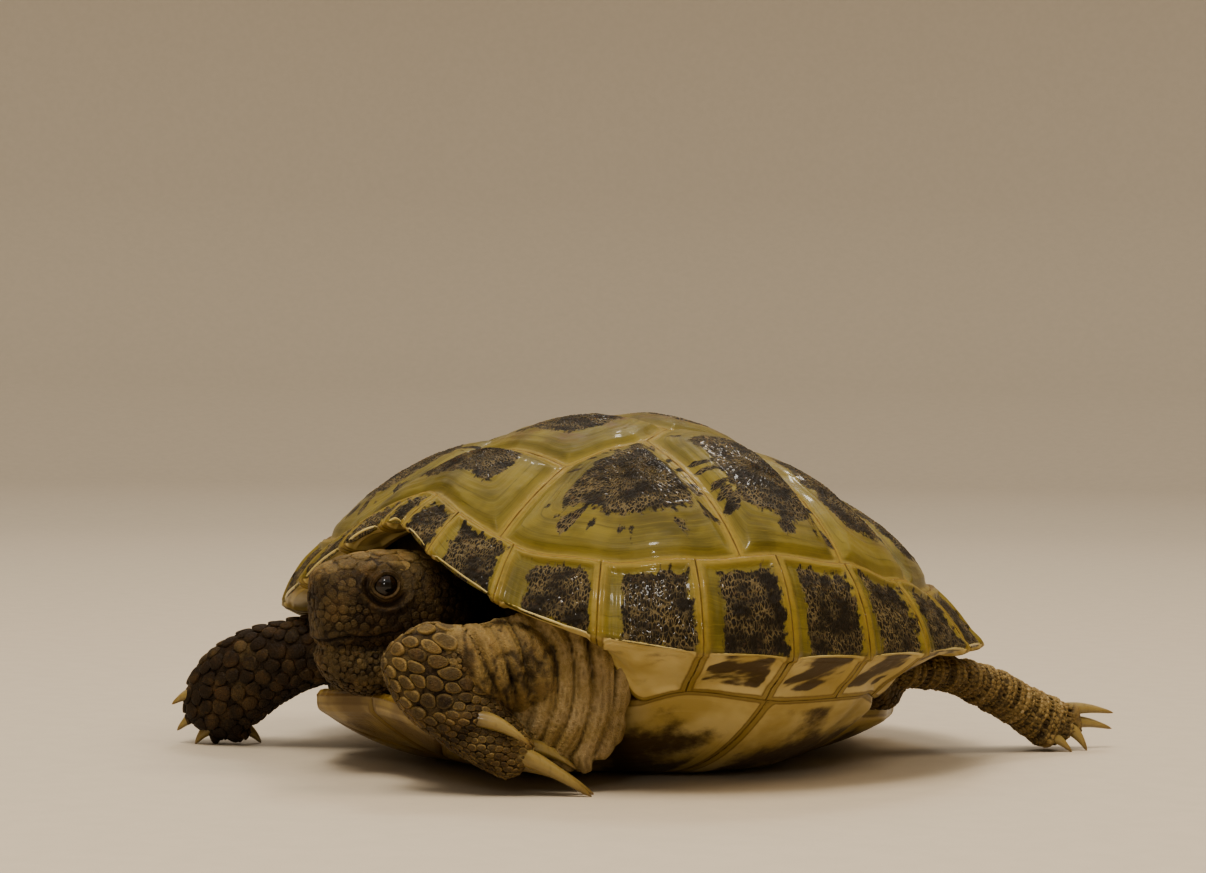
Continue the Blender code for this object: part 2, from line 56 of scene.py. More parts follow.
HALF_WIDTH = 41.0
FRONT_LENGTH = 35.4
REAR_LENGTH = 41.4
SHELL_TOP = 40.2
FRONT_SQUARENESS = 2.75     # powers of the outline in front and behind; 2 is an ellipse
REAR_SQUARENESS = 2.1
NUCHAL_NOTCH = 1.8          # dip of the outline over the neck
RIM_SIDE_HEIGHT = 14.3
RIM_FRONT_RISE = 14.2
RIM_REAR_DROP = 2.0
RIM_RISE_ANGLE = 34.0       # how far round the front's rise reaches
SHELL_BEND = 1.75           # power of the dome's curve from its top to the rim
# Angle, and how full the dome is there
SHELL_FULLNESS = ((0, 1.1), (30, 1.22), (46, 1.5), (61, 1.86), (75, 2.1), (90, 1.9),
                  (104, 1.5), (120, 1.16), (180, 1.05))
RIM_UNDERSIDE = 5.0         # how far in the rim's underside reaches where it is free
BRIDGE = (44.0, 54.0, 106.0, 116.0)     # angles between which the rim grows to the belly,
BELLY_BRIDGE = (44.0, 54.0, 104.0, 114.0)   # and between which the belly's edge isn't free
REAR_SERRATION = 0.8
PLATE = 1.7                 # thickness of a plate
SEAM = 0.025                # half the gap that shows between two plates
SLOPE_STEP = 0.2            # how far apart heights are compared to find a slope

# Corners of the plates: y and half width of the seams between the middle plates, y and
# half width of the corners between two seams, and angles on the ring above the rim
VERTEBRAL_SEAM_Y = (-33.0, -17.5, -1.5, 13.5, 25.0, 35.0)
VERTEBRAL_SEAM_HALF = (2.0, 10.0, 9.5, 9.0, 7.0, 9.0)
VERTEBRAL_MID_Y = (-28.0, -8.0, 6.0, 19.0)
VERTEBRAL_MID_HALF = (13.0, 13.0, 12.5, 11.0)
V1_RING = 25.0
V5_RING = 158.0
COSTAL_RING = (V1_RING, 69.0, 90.0, 112.0, V5_RING)
MARGINAL_SEAMS = (3.5, 13.5, 29.0, 46.0, 61.0, 75.0, 90.0, 104.0, 119.0, 136.0, 153.0, 170.0)

BELLY_FLAT = 0.5            # share of the belly's radius that is flat
# Angle, and the radius or the height of the belly's edge there
BELLY_EDGE = ((0, 37.6), (16, 39.2), (28, 36.2), (42, 31.2), (54, 33.6), (75, 35.8),
              (95, 35.8), (108, 33.6), (122, 29.6), (140, 32.4), (164, 36.6), (180, 34.2))
BELLY_EDGE_HEIGHT = ((0, 8.0), (20, 7.2), (36, 4.6), (50, 9.6), (62, 11.0), (80, 9.8),
                     (100, 9.8), (112, 8.2), (126, 5.4), (150, 4.6), (180, 4.8))
# Belly plates: name, y of the front and rear seam, angle of their ends at the edge
BELLY_PLATES = (("gular", -37.6, -27.0, 0, 19), ("humeral", -27.0, -14.5, 19, 41),
                ("pectoral", -14.5, -7.5, 41, 76), ("abdominal", -7.5, 12.0, 76, 118),
                ("femoral", 12.0, 24.0, 118, 151), ("anal", 24.0, 34.2, 151, 180))


def smooth(low, high, value):
    """0 below low and 1 above high, smooth between; low may be the larger."""
    t = np.clip((np.asarray(value, float) - low) / (high - low), 0.0, 1.0)
    return t * t * (3.0 - 2.0 * t)


def within(value, edges):
    """1 between the inner two of four rising edges, 0 outside the outer two."""
    a, b, c, d = edges
    return smooth(a, b, value) * (1 - smooth(c, d, value))


def bell(value, middle, width):
    """1 at the middle, falling to nothing within about two widths."""
    return np.exp(-((np.asarray(value, float) - middle) / width) ** 2)


def table(points, value):
    """Smooth interpolation in a short table of (angle, size)."""
    angles, sizes = np.array(points, float).T
    i = np.clip(np.searchsorted(angles, value, side="right") - 1, 0, len(angles) - 2)
    t = np.clip((value - angles[i]) / (angles[i + 1] - angles[i]), 0.0, 1.0)
    return sizes[i] + (sizes[i + 1] - sizes[i]) * t * t * (3.0 - 2.0 * t)


def fold(angle):
    """Angle from the nose without its side, 0 to 180."""
    return np.abs((np.asarray(angle, float) + 180.0) % 360.0 - 180.0)


def outline_radius(angle):
    """Radius of the shell's outline seen from above."""
    a = np.radians(angle)
    s, c = np.abs(np.sin(a)), np.cos(a)
    length = np.where(c > 0, FRONT_LENGTH, REAR_LENGTH)
    n = np.where(c > 0, FRONT_SQUARENESS, REAR_SQUARENESS)
    radius = ((s / HALF_WIDTH) ** n + (np.abs(c) / length) ** n) ** (-1.0 / n)
    return radius - NUCHAL_NOTCH * bell(fold(angle), 0.0, 9.0)


def rim_height(angle):
    """Height of the rim's edge: high over the head, low behind."""
    c = np.cos(np.radians(angle))
    rise = np.exp(-(fold(angle) / RIM_RISE_ANGLE) ** 1.5)
    return RIM_SIDE_HEIGHT + RIM_FRONT_RISE * rise - RIM_REAR_DROP * ((1 - c) / 2) ** 8


def ring_share(angle):
    """Where the seam above the rim plates lies, as a share of the outline's radius."""
    c = np.cos(np.radians(angle))
    return 0.92 - 0.062 * ((1 + c) / 2) ** 3.5 - 0.07 * ((1 - c) / 2) ** 2.5


def shell_height(x, y):
    """Height of the upper shell."""
    angle = np.degrees(np.arctan2(x, -y))
    share = np.minimum(1.0, np.hypot(x, y) / outline_radius(angle))
    low = rim_height(angle)
    return low + (SHELL_TOP - low) * (1.0 - share ** SHELL_BEND) ** (
        1.0 / table(SHELL_FULLNESS, fold(angle)))


def belly_height(x, y):
    """Height of the belly: flat in the middle, rising to its edge."""
    angle = fold(np.degrees(np.arctan2(x, -y)))
    share = np.hypot(x, y) / table(BELLY_EDGE, angle)
    rise = np.maximum(0.0, (share - BELLY_FLAT) / (1.0 - BELLY_FLAT))
    return table(BELLY_EDGE_HEIGHT, angle) * rise ** 2


def on_surface(height, plan):
    """Places (x, y) raised to a surface."""
    x, y = plan[..., 0], plan[..., 1]
    return np.stack((x, y, height(x, y)), -1)


def surface_normal(height, plan):
    """Upward normals of a surface at places (x, y)."""
    x, y, step = plan[..., 0], plan[..., 1], SLOPE_STEP
    dx = (height(x + step, y) - height(x - step, y)) / (2 * step)
    dy = (height(x, y + step) - height(x, y - step)) / (2 * step)
    return unit(np.stack((-dx, -dy, np.ones_like(dx)), -1))


def unit(vectors):
    """Vectors with length 1."""
    return vectors / np.maximum(1e-9, np.linalg.norm(vectors, axis=-1, keepdims=True))


def polar(angle, radius):
    """(x, y) at an angle from the nose."""
    a = np.radians(angle)
    return np.stack((radius * np.sin(a), -radius * np.cos(a)), -1)


def on_ring(angle):
    """(x, y) on the seam above the rim plates."""
    return polar(angle, ring_share(angle) * outline_radius(angle))


# ---------------------------------------------------------------- noise

def lattice(corner, seed):
    """Repeatable random numbers, 0 to 1, for whole-number points."""
    h = (corner[..., 0] * 374761393 + corner[..., 1] * 668265263
         + corner[..., 2] * 1274126177 + seed * 144269504)
    h = (h ^ (h >> 13)) * 1103515245
    return ((h ^ (h >> 16)) & 0xFFFFF) / 0xFFFFF


def noise(points, size, seed=0, octaves=1):
    """Smooth noise from -1 to 1 whose features are about size across."""
    total = 0.0
    for octave in range(octaves):
        p = np.asarray(points, float) / size * 2 ** octave
        base = np.floor(p).astype(np.int64)
        f = p - base
        f = f * f * (3.0 - 2.0 * f)
        value = 0.0
        for dx, dy, dz in np.ndindex(2, 2, 2):
            weight = (np.abs(1 - dx - f[..., 0]) * np.abs(1 - dy - f[..., 1])
                      * np.abs(1 - dz - f[..., 2]))
            value = value + weight * lattice(base + (dx, dy, dz), seed + octave)
        total = total + (2.0 * value - 1.0) / 2 ** octave
    return total


def cells(points, size, seed):
    """Distances to the nearest and the second nearest of scattered points, in cells."""
    p = np.asarray(points, float) / size
    base = np.floor(p).astype(np.int64)
    first = np.full(p.shape[:-1], 9.0)
    second = first.copy()
    for offset in np.ndindex(3, 3, 3):
        corner = base + np.array(offset) - 1
        place = np.stack([lattice(corner, seed + 17 * k) for k in range(3)], -1)
        distance = np.linalg.norm(corner + place - p, axis=-1)
        second = np.minimum(second, np.maximum(first, distance))
        first = np.minimum(first, distance)
    return first, second


# ---------------------------------------------------------------- meshes

def link(name, data):
    """New object in the scene."""
    obj = bpy.data.objects.new(name, data)
    bpy.context.scene.collection.objects.link(obj)
    return obj


def dress(name, mesh, material, fields, replaced):
    """Object of the animal; fields are numbers kept at each point of its mesh."""
    mesh.polygons.foreach_set("use_smooth", np.ones(len(mesh.polygons), bool))
    for key, values in fields.items():
        store(mesh, key, values)
    mesh.materials.clear()
    mesh.materials.append(material)
    obj = link(name, mesh)
    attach(obj, "root")
    if replaced:
        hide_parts(*replaced)
    return obj


def make_object(name, points, faces, material, fields, replaced=()):
    """Object of the animal from points in millimetres and faces."""
    mesh = bpy.data.meshes.new(name)
    mesh.from_pydata(((points - ORIGIN) * MM).tolist(), [], faces)
    return dress(name, mesh, material, fields, replaced)


def applied(obj):
    """Mesh of an object with its modifiers applied; the object is removed."""
    bpy.context.view_layer.update()
    graph = bpy.context.evaluated_depsgraph_get()
    mesh = bpy.data.meshes.new_from_object(obj.evaluated_get(graph))
    bpy.data.objects.remove(obj)
    return mesh


def read(items, key, width, kind=float):
    """Values of a mesh's points, corners or triangles, one row for each."""
    out = np.empty(len(items) * width, kind)
    items.foreach_get(key, out)
    return out.reshape(-1, width)


def store(mesh, key, values):
    """Keeps a number or a vector for each point of a mesh."""
    values = np.asarray(values, np.float32)
    if values.ndim == 2:
        mesh.attributes.new(key, "FLOAT_VECTOR", "POINT").data.foreach_set("vector", values.ravel())
    else:
        mesh.attributes.new(key, "FLOAT", "POINT").data.foreach_set("value", values)


def grid_faces(rows, columns, closed=True, start=0, flip=False):
    """Quads between rows of points; closed joins the last column to the first."""
    r, c = np.meshgrid(np.arange(rows - 1), np.arange(columns if closed else columns - 1),
                       indexing="ij")
    n = (c + 1) % columns
    quads = np.stack((r * columns + c, r * columns + n, (r + 1) * columns + n,
                      (r + 1) * columns + c), -1).reshape(-1, 4) + start
    return (quads[:, ::-1] if flip else quads).tolist()


def fan_faces(start, columns, tip, flip=False):
    """Triangles between a closed row of points and a tip."""
    order = [(start + i, start + (i + 1) % columns, tip) for i in range(columns)]
    return [face[::-1] for face in order] if flip else order


def area_of(outline):
    """Area inside an outline, negative if it runs clockwise."""
    x, y = outline.T
    return 0.5 * np.sum(x * np.roll(y, -1) - np.roll(x, -1) * y)


def resample(outline, count):
    """Points evenly spaced along a closed outline, its corners kept nearly sharp."""
    points = np.vstack((outline, outline[:1]))
    length = np.concatenate(([0.0], np.cumsum(np.linalg.norm(np.diff(points, axis=0), axis=1))))
    at = np.linspace(0.0, length[-1], count, endpoint=False)
    return np.stack([np.interp(at, length, points[:, k]) for k in (0, 1)], -1)


def rounded(points, turns):
    """A closed outline with its corners rounded off."""
    for _ in range(turns):
        points = (np.roll(points, 1, 0) + 2 * points + np.roll(points, -1, 0)) / 4
    return points


def edge_distance(points, edge):
    """Distance from each point to a closed line of points, all in space."""
    best = np.full(len(points), 1e9)
    for a, b in zip(edge, np.roll(edge, -1, 0)):
        along = b - a
        t = np.clip((points - a) @ along / max(1e-9, along @ along), 0.0, 1.0)
        best = np.minimum(best, np.linalg.norm(points - a - t[:, None] * along, axis=1))
    return best


# ---------------------------------------------------------------- materials

class Shader:
    """One material's nodes; numbers and colours go straight to sockets."""

    def __init__(self, name):
        self.material = bpy.data.materials.new(name)
        self.material.use_nodes = True
        self.nodes = self.material.node_tree.nodes
        self.links = self.material.node_tree.links
        self.surface = self.nodes["Principled BSDF"]

    def put(self, socket, value):
        if isinstance(value, bpy.types.NodeSocket):
            self.links.new(value, socket)
        elif isinstance(value, tuple) and socket.type == "RGBA":
            socket.default_value = (*value, 1.0)
        else:
            socket.default_value = value

    def node(self, kind, values, out=0, **settings):
        node = self.nodes.new("ShaderNode" + kind)
        for key, value in settings.items():
            setattr(node, key, value)
        for key, value in values.items():
            self.put(node.inputs[key], value)
        return node.outputs[out]

    def field(self, name, vector=False):
        return self.node("Attribute", {}, out=1 if vector else 2, attribute_name=name)

    def math(self, operation, a, b=0.0):
        return self.node("Math", {0: a, 1: b}, operation=operation)

    def add(self, a, b):
        return self.math("ADD", a, b)

    def times(self, a, b):
        return self.math("MULTIPLY", a, b)

    def step(self, value, low, high):
        """0 below low and 1 above high, smooth between; low may be the larger."""
        return self.node("MapRange", {"Value": value, "From Min": low, "From Max": high},
                         interpolation_type="SMOOTHSTEP")

    def mix(self, share, a, b):
        return self.node("Mix", {0: share, 6: a, 7: b}, out=2, data_type="RGBA")

    def tint(self, colour, target, value, low, high, share=1.0):
        """Turns a colour into the target as value goes from low to high."""
        amount = self.step(value, low, high)
        return self.mix(amount if share == 1.0 else self.times(amount, share), colour, target)

    def stretch(self, vector, scale):
        return self.node("VectorMath", {0: vector, 1: scale}, operation="MULTIPLY")

    def add_vector(self, vector, shift):
        """Moves a place by a number from 0 to 1, to bend straight cells."""
        return self.node("VectorMath", {0: vector, 1: shift}, operation="ADD")

    def noise(self, vector, size, detail=3.0, rough=0.55):
        return self.node("TexNoise", {"Vector": vector, "Scale": 1.0 / size, "Detail": detail,
                                      "Roughness": rough})

    def cells(self, vector, size):
        return self.node("TexVoronoi", {"Vector": vector, "Scale": 1.0 / size},
                         feature="DISTANCE_TO_EDGE")

    def bump(self, height, depth, normal=None):
        """Height 0 to 1 raises the surface by depth in millimetres."""
        values = {"Height": height, "Distance": depth * MM, "Strength": 1.0}
        if normal:
            values["Normal"] = normal
        return self.node("Bump", values)

    def finish(self, colour, roughness, normal, **constants):
        self.put(self.surface.inputs["Base Color"], colour)
        self.put(self.surface.inputs["Roughness"], roughness)
        self.put(self.surface.inputs["Normal"], normal)
        for key, value in constants.items():
            self.put(self.surface.inputs[key.replace("_", " ")], value)
        return self.material


# Colours of the horn
OLIVE = (0.168, 0.130, 0.024)
OLIVE_DEEP = (0.074, 0.058, 0.010)
OCHRE = (0.232, 0.160, 0.034)
SEAM_LINE = (0.110, 0.062, 0.014)
AREOLA = (0.013, 0.0085, 0.0035)
TAN = (0.175, 0.130, 0.060)
# purple tint of the birth plates; also the painted reflection of red light round the back's birth
# plates
PURPLE = (0.110, 0.060, 0.032)
IVORY = (0.520, 0.420, 0.200)
IVORY_SHADE = (0.380, 0.285, 0.100)
FRONT_BROWN = (0.115, 0.068, 0.020)
BLOTCH = (0.046, 0.024, 0.008)


def horn_material(name):
    """Plates of the shell.  Fields: seam is the distance to the plate's edge, dark marks
    the birth plate, ring grows outwards, pale is 1 underneath, blotch marks its spots,
    the brown and red tint is purple round the back's birth plates, a painted reflection of
    red light, and darker brown on the front belly plates; grain is a place in millimetres,
    and spoke the same stretched so that cells lie like the spokes of a wheel."""
    s = Shader(name)
    grain, seam, ring = s.field("grain", True), s.field("seam"), s.field("ring")
    spoke = s.field("spoke", True)
    pale, brown = s.field("pale"), s.field("brown")
    broad = s.noise(grain, 7.0, 3.0)
    fine = s.noise(grain, 0.9, 4.0, 0.6)
    speck = s.noise(grain, 0.28, 2.0, 0.6)
    lines = s.noise(s.node("CombineXYZ", {"X": s.times(ring, 38.0), "Y": s.times(broad, 2.2)}),
                    1.0, 3.0, 0.7)

    growth = s.tint(OLIVE_DEEP, OLIVE, s.add(broad, s.times(lines, 0.5)), 0.50, 0.95)
    growth = s.tint(growth, OCHRE, lines, 0.60, 0.75, 0.40)
    growth = s.tint(growth, OLIVE_DEEP, lines, 0.40, 0.28, 0.60)
    # painted reflection of red light: purple on the back plates where the brown and red field is
    # set
    growth = s.tint(growth, PURPLE, fine, 0.3, 0.6, brown)
    near = s.step(s.add(seam, s.times(s.add(fine, broad), 0.8)), 2.2, 0.8)
    growth = s.tint(growth, OCHRE, fine, 0.1, 0.75, near)

    net = s.cells(s.add_vector(spoke, s.times(speck, 0.5)), 0.68)
    hair = s.noise(spoke, 0.62, 3.0, 0.65)
    network = s.times(s.step(net, 0.17, 0.03), s.step(s.noise(grain, 2.4, 2.0), 0.34, 0.66))
    areola = s.mix(s.times(network, 0.75), AREOLA, TAN)
    areola = s.tint(areola, PURPLE, fine, 0.55, 0.75, 0.25)
    ragged = s.add(s.field("dark"), s.times(s.add(hair, -0.5), 1.5))
    top = s.tint(growth, areola, ragged, 0.30, 0.72)

    under = s.tint(IVORY_SHADE, IVORY, broad, 0.35, 0.65)
    under = s.tint(under, IVORY, lines, 0.5, 0.8, 0.25)
    under = s.tint(under, OCHRE, s.add(seam, s.times(fine, 0.4)), 1.05, 0.75, 0.75)
    groove = s.math("ABSOLUTE", s.add(seam, -0.62))
    under = s.tint(under, SEAM_LINE, groove, 0.16, 0.04, 0.5)
    # darker brown on the front belly plates, from the brown and red field
    under = s.tint(under, FRONT_BROWN, broad, 0.25, 0.6, brown)
    spotted = s.add(s.field("blotch"), s.times(s.add(fine, -0.5), 0.4))
    under = s.tint(under, BLOTCH, spotted, 0.28, 0.74, 0.93)
    colour = s.mix(pale, top, under)
    colour = s.tint(colour, SEAM_LINE, seam, 0.13, 0.03, s.step(fine, 0.25, 0.6))

    darkness = s.times(s.step(ragged, 0.3, 0.72), s.step(pale, 0.6, 0.4))
    rough = s.add(s.add(0.30, s.times(fine, 0.20)), s.times(darkness, 0.22))
    normal = s.bump(lines, 0.028)
    normal = s.bump(s.times(net, darkness), 0.22, normal)
    normal = s.bump(fine, 0.03, normal)
    return s.finish(colour, rough, normal, Coat_Weight=0.30, Coat_Roughness=0.07,
                    Specular_IOR_Level=0.22, Subsurface_Weight=0.12, Subsurface_Scale=0.0012,
                    Subsurface_Radius=(1.0, 0.6, 0.2))


# ---------------------------------------------------------------- shell plates

TURNS = 216                 # points round a plate
BIRTH_ROWS = 26             # rows of points in the birth plate, outside it and at the edge
GROWTH_ROWS = 34
EDGE_ROWS = 11
EDGE_START = 0.93           # share of the way out where the rows of the edge start
ROUNDINGS = 45              # how often the outline is softened for the inner rows
SPOKE = 8.0                 # how much the birth plate's network is drawn out
PIT_DEPTH, PIT_SIZE = 0.08, 0.48    # of the grains of a birth plate
SEED_SHIFT = 13.7           # moves the grain, so that no two plates look alike
RIM_SEED_SHIFT = 7.3
SIDES = (("left", 1), ("right", -1))
# Seeds of the plates; a plate's number, doubled if it has a left and a right, is added
SEEDS = {"vertebral": 11, "costal": 21, "belly": 61, "nuchal": 97, "supracaudal": 98,
         "marginal": 101}


def plate_rows(birth):
    """Shares of the way out of the rows of points; birth is the birth plate's share."""
    return np.concatenate((np.linspace(0.02, birth, BIRTH_ROWS, endpoint=False),
                           np.linspace(birth, EDGE_START, GROWTH_ROWS, endpoint=False),
                           np.linspace(EDGE_START, 1.0, EDGE_ROWS)))


def scute(name, outline, focus, birth, height, material, relief, seed, facing=1.0,
          thickness=PLATE):
    """Plate made of rings that keep its outline and shrink to the birth plate's middle.

    relief takes the base points, the share of the way out, the distance to the seam,
    the distance in from the birth plate's edge and the seed, and gives the height of
    the surface and the fields.  facing is -1 for a plate that looks down."""
    outline = np.asarray(outline, float)
    if area_of(outline) * facing < 0:
        outline = outline[::-1]
    exact = resample(outline, TURNS)
    focus = np.asarray(focus, float)
    reach = np.linalg.norm(exact - focus, axis=1)
    exact = focus + (exact - focus) * (1.0 - SEAM / reach)[:, None]
    soft = rounded(exact, ROUNDINGS)
    rows = plate_rows(birth)[:, None, None]
    plan = focus + rows * (soft + (exact - soft) * rows ** 5 - focus)
    base = on_surface(height, plan)
    normal = surface_normal(height, plan) * facing
    flat = base.reshape(-1, 3)
    seam = edge_distance(flat, base[-1, ::3]).reshape(base.shape[:2])
    share = np.broadcast_to(rows[..., 0], seam.shape)
    inside = (birth - share) * reach
    lift, fields = relief(base, share, seam, inside, seed)
    top = base + normal * lift[..., None]
    low = base[-1] - normal[-1] * thickness
    middle = on_surface(height, focus)
    up = surface_normal(height, focus) * facing
    points = np.vstack((middle + up * lift[0].mean(), top.reshape(-1, 3), low,
                        middle - up * thickness))
    count = len(rows)
    faces = grid_faces(count, TURNS, start=1)
    faces += fan_faces(1, TURNS, 0, flip=True)
    last = 1 + (count - 1) * TURNS
    faces += grid_faces(2, TURNS, start=last)
    faces += fan_faces(last + TURNS, TURNS, len(points) - 1)

    def whole(values):
        """Values for the middle, the rows, the underside's edge and its middle."""
        flat_values = values.reshape(-1, *values.shape[2:])
        return np.concatenate((flat_values[:1], flat_values, values[-1], flat_values[:1]))

    fields = {key: whole(np.broadcast_to(value, seam.shape)) for key, value in fields.items()}
    fields["seam"] = whole(seam)
    fields["seam"][-TURNS - 1:] = 0.0
    fields["grain"] = points + seed * SEED_SHIFT
    around = unit(base - middle) * smooth(0.0, 0.25, share)[..., None]
    fields["spoke"] = whole(base + SPOKE * around + seed * SEED_SHIFT)
    if facing < 0:
        faces = [face[::-1] for face in faces]
    return make_object(name + "_horn", points, faces, material, fields, (name,))


def pillow(seam, share):
    """Height of a plate: a raised band along the seam, a step up and a gentle crown."""
    band = 0.05 * bell(seam, 0.34, 0.18) - 0.03 * bell(seam, 0.66, 0.14)
    edge = 0.50 * smooth(0.60, 1.90, seam)
    return -0.26 + band + edge + 0.90 * (1.0 - share ** 2) * smooth(0.6, 3.2, seam)


def birth_pits(base, seed):
    """Fine network of grooves round small grains."""
    near, second = cells(base, PIT_SIZE, seed)
    gap = second - near
    return PIT_DEPTH * (0.8 * smooth(0.1, 0.5, gap) - smooth(0.30, 0.02, gap))


def back_relief(dark_reach, brown, rays):
    """Relief and fields of a plate of the back; dark_reach widens its dark middle in
    millimetres and rays is how far outside it a row of dark flecks lies."""
    def relief(base, share, seam, inside, seed):
        grow = np.clip(-inside, 0.0, None)
        wave = noise(base, 5.0, seed, 2)
        rings = np.sin(2 * np.pi * (grow / 0.95 + 0.30 * wave)) * smooth(0.3, 1.4, grow)
        steps = noise(np.stack((share * 22.0, share * 0 + seed, share * 0), -1), 1.0, seed)
        lift = pillow(seam, share)
        lift += 0.012 * rings * smooth(0.9, 2.0, seam)
        lift += 0.03 * steps * smooth(0.0, 1.0, grow) * smooth(0.9, 2.0, seam)
        lift += 0.09 * bell(inside, 0.0, 0.22) * smooth(0.5, 1.5, seam)
        lift += birth_pits(base, seed) * smooth(-0.2, 0.4, inside)
        lift += 0.05 * noise(base, 2.2, seed + 5, 2)
        lift += 0.035 * noise(base, 0.7, seed + 15, 2) * bell(seam, 0.45, 0.4)
        around = unit(base - base[0].mean(0))
        fleck = noise(around * 9.0 + np.stack((share, share, share), -1) * 1.5, 1.0, seed + 9)
        patch = noise(base, 2.6, seed + 3, 2)
        hair = noise(base, 0.55, seed + 13, 2)
        dark = inside + dark_reach + 0.45 * np.clip(fleck, 0.0, 1.0) + 0.7 * patch + 0.45 * hair
        dash = noise(around * 10.0, 1.0, seed + 17) * 2.8 - 0.35 - np.abs(grow - rays) * 0.80
        dark = np.maximum(dark, np.where(rays > 0.0, dash, -1.0))
        # the brown and red field: a painted reflection of red light, purple in patches near the
        # birth plate's edge, fading out by 4 mm
        return lift, {"dark": smooth(-0.8, 0.8, dark), "ring": share + 0.01 * wave,
                      "brown": brown * smooth(4.0, 0.5, grow) * smooth(-0.4, 0.4, patch + 0.2)}
    return relief


def between(a, b, steps):
    """Places on the line from a to b, without b."""
    t = np.arange(steps)[:, None] / steps
    return np.asarray(a, float) * (1 - t) + np.asarray(b, float) * t


def arc(a, b, steps, point):
    """Places on a curve from angle a to angle b, without b."""
    return point(a + (b - a) * np.arange(steps) / steps)


def mirrored(outline):
    """Outline of the same plate on the other side, running the same way round."""
    return (np.asarray(outline) * (-1.0, 1.0))[::-1]


def on_side(outline, sign):
    """Outline of a plate of the left side (1) or of its twin on the right (-1)."""
    return outline if sign > 0 else mirrored(outline)


def vertebral_outline(index):
    """Half of the plate from the front of the midline to its back, then mirrored."""
    y0, y1 = VERTEBRAL_SEAM_Y[index], VERTEBRAL_SEAM_Y[index + 1]
    w0, w1 = VERTEBRAL_SEAM_HALF[index], VERTEBRAL_SEAM_HALF[index + 1]
    if index == 0:
        half = [arc(0, V1_RING, 24, on_ring), between(on_ring(V1_RING), (w1, y1), 3)]
    elif index < 4:
        mid = (VERTEBRAL_MID_HALF[index], VERTEBRAL_MID_Y[index])
        half = [between((0, y0), (w0, y0), 2), between((w0, y0), mid, 3),
                between(mid, (w1, y1), 3)]
    else:
        half = [between((0, y0), (w0, y0), 2), between((w0, y0), on_ring(V5_RING), 3),
                arc(V5_RING, 180, 18, on_ring)]
    half += [between((w1, y1), (0, y1), 2), [(0, y1)]] if index < 4 else [[on_ring(180.0)]]
    half = np.vstack(half)
    return np.vstack((half, mirrored(half)[1:-1]))


def costal_outline(index):
    """Costal plates 1 to 4 of the left side."""
    corners = [on_ring(V1_RING)]
    for k in range(1, 4):
        corners += [(VERTEBRAL_SEAM_HALF[k], VERTEBRAL_SEAM_Y[k]),
                    (VERTEBRAL_MID_HALF[k], VERTEBRAL_MID_Y[k])]
    corners += [(VERTEBRAL_SEAM_HALF[4], VERTEBRAL_SEAM_Y[4]), on_ring(V5_RING)]
    front, seam, back = corners[2 * index:2 * index + 3]
    a, b = COSTAL_RING[index:index + 2]
    out = [arc(a, b, 40, on_ring)]
    if index < 3:
        out.append(between(on_ring(b), back, 4))
    out += [between(back, seam, 3), between(seam, front, 3)]
    if index > 0:
        out.append(between(front, on_ring(a), 4))
    return np.vstack(out)


# Middle of each birth plate (x, y), its share of the plate, how far the dark reaches past
# it, how strong the purple tint round it is, a painted reflection of red light, and how far
# out its flecks lie, if it has any
VERTEBRALS = ((0.0, -20.8, 0.50, 0.2, 0.1, 0.0), (0.0, -8.2, 0.50, 0.3, 0.8, 0.0),
              (0.0, 6.2, 0.50, 0.4, 0.7, 0.0), (0.0, 19.8, 0.48, 0.5, 0.5, 0.0),
              (0.0, 28.6, 0.46, 0.5, 0.3, 0.0))
COSTALS = ((20.6, -15.2, 0.54, 0.3, 0.1, 2.2), (25.6, -2.2, 0.60, 0.5, 0.15, 1.9),
           (23.6, 11.0, 0.60, 0.6, 0.3, 0.0), (19.8, 22.8, 0.58, 0.4, 0.3, 0.0))


def build_back(material):
    for index, (x, y, birth, reach, brown, rays) in enumerate(VERTEBRALS):
        scute(f"vertebral_{index + 1}", vertebral_outline(index), (x, y), birth, shell_height,
              material, back_relief(reach, brown, rays), SEEDS["vertebral"] + index)
    for index, (x, y, birth, reach, brown, rays) in enumerate(COSTALS):
        outline = costal_outline(index)
        for side, sign in SIDES:
            scute(f"costal_{side}_{index + 1}", on_side(outline, sign), (sign * x, y), birth,
                  shell_height, material, back_relief(reach, brown, rays),
                  SEEDS["costal"] + 2 * index + (sign < 0))


# ---------------------------------------------------------------- belly plates

def belly_outline(y0, y1, a, b):
    """Belly plate of the left side."""
    def edge(angle):
        return polar(angle, table(BELLY_EDGE, angle))

    steps = max(12, round((b - a) / 2))
    out = [] if a == 0 else [between((0, y0), edge(a), 3)]
    out += [arc(a, b, steps, edge), [edge(b)]]
    if b < 180:
        out += [between(edge(b), (0, y1), 3)[1:], [(0, y1)]]
    out.append(between((0, y1), (0, y0), 2)[1:])
    return np.vstack(out)


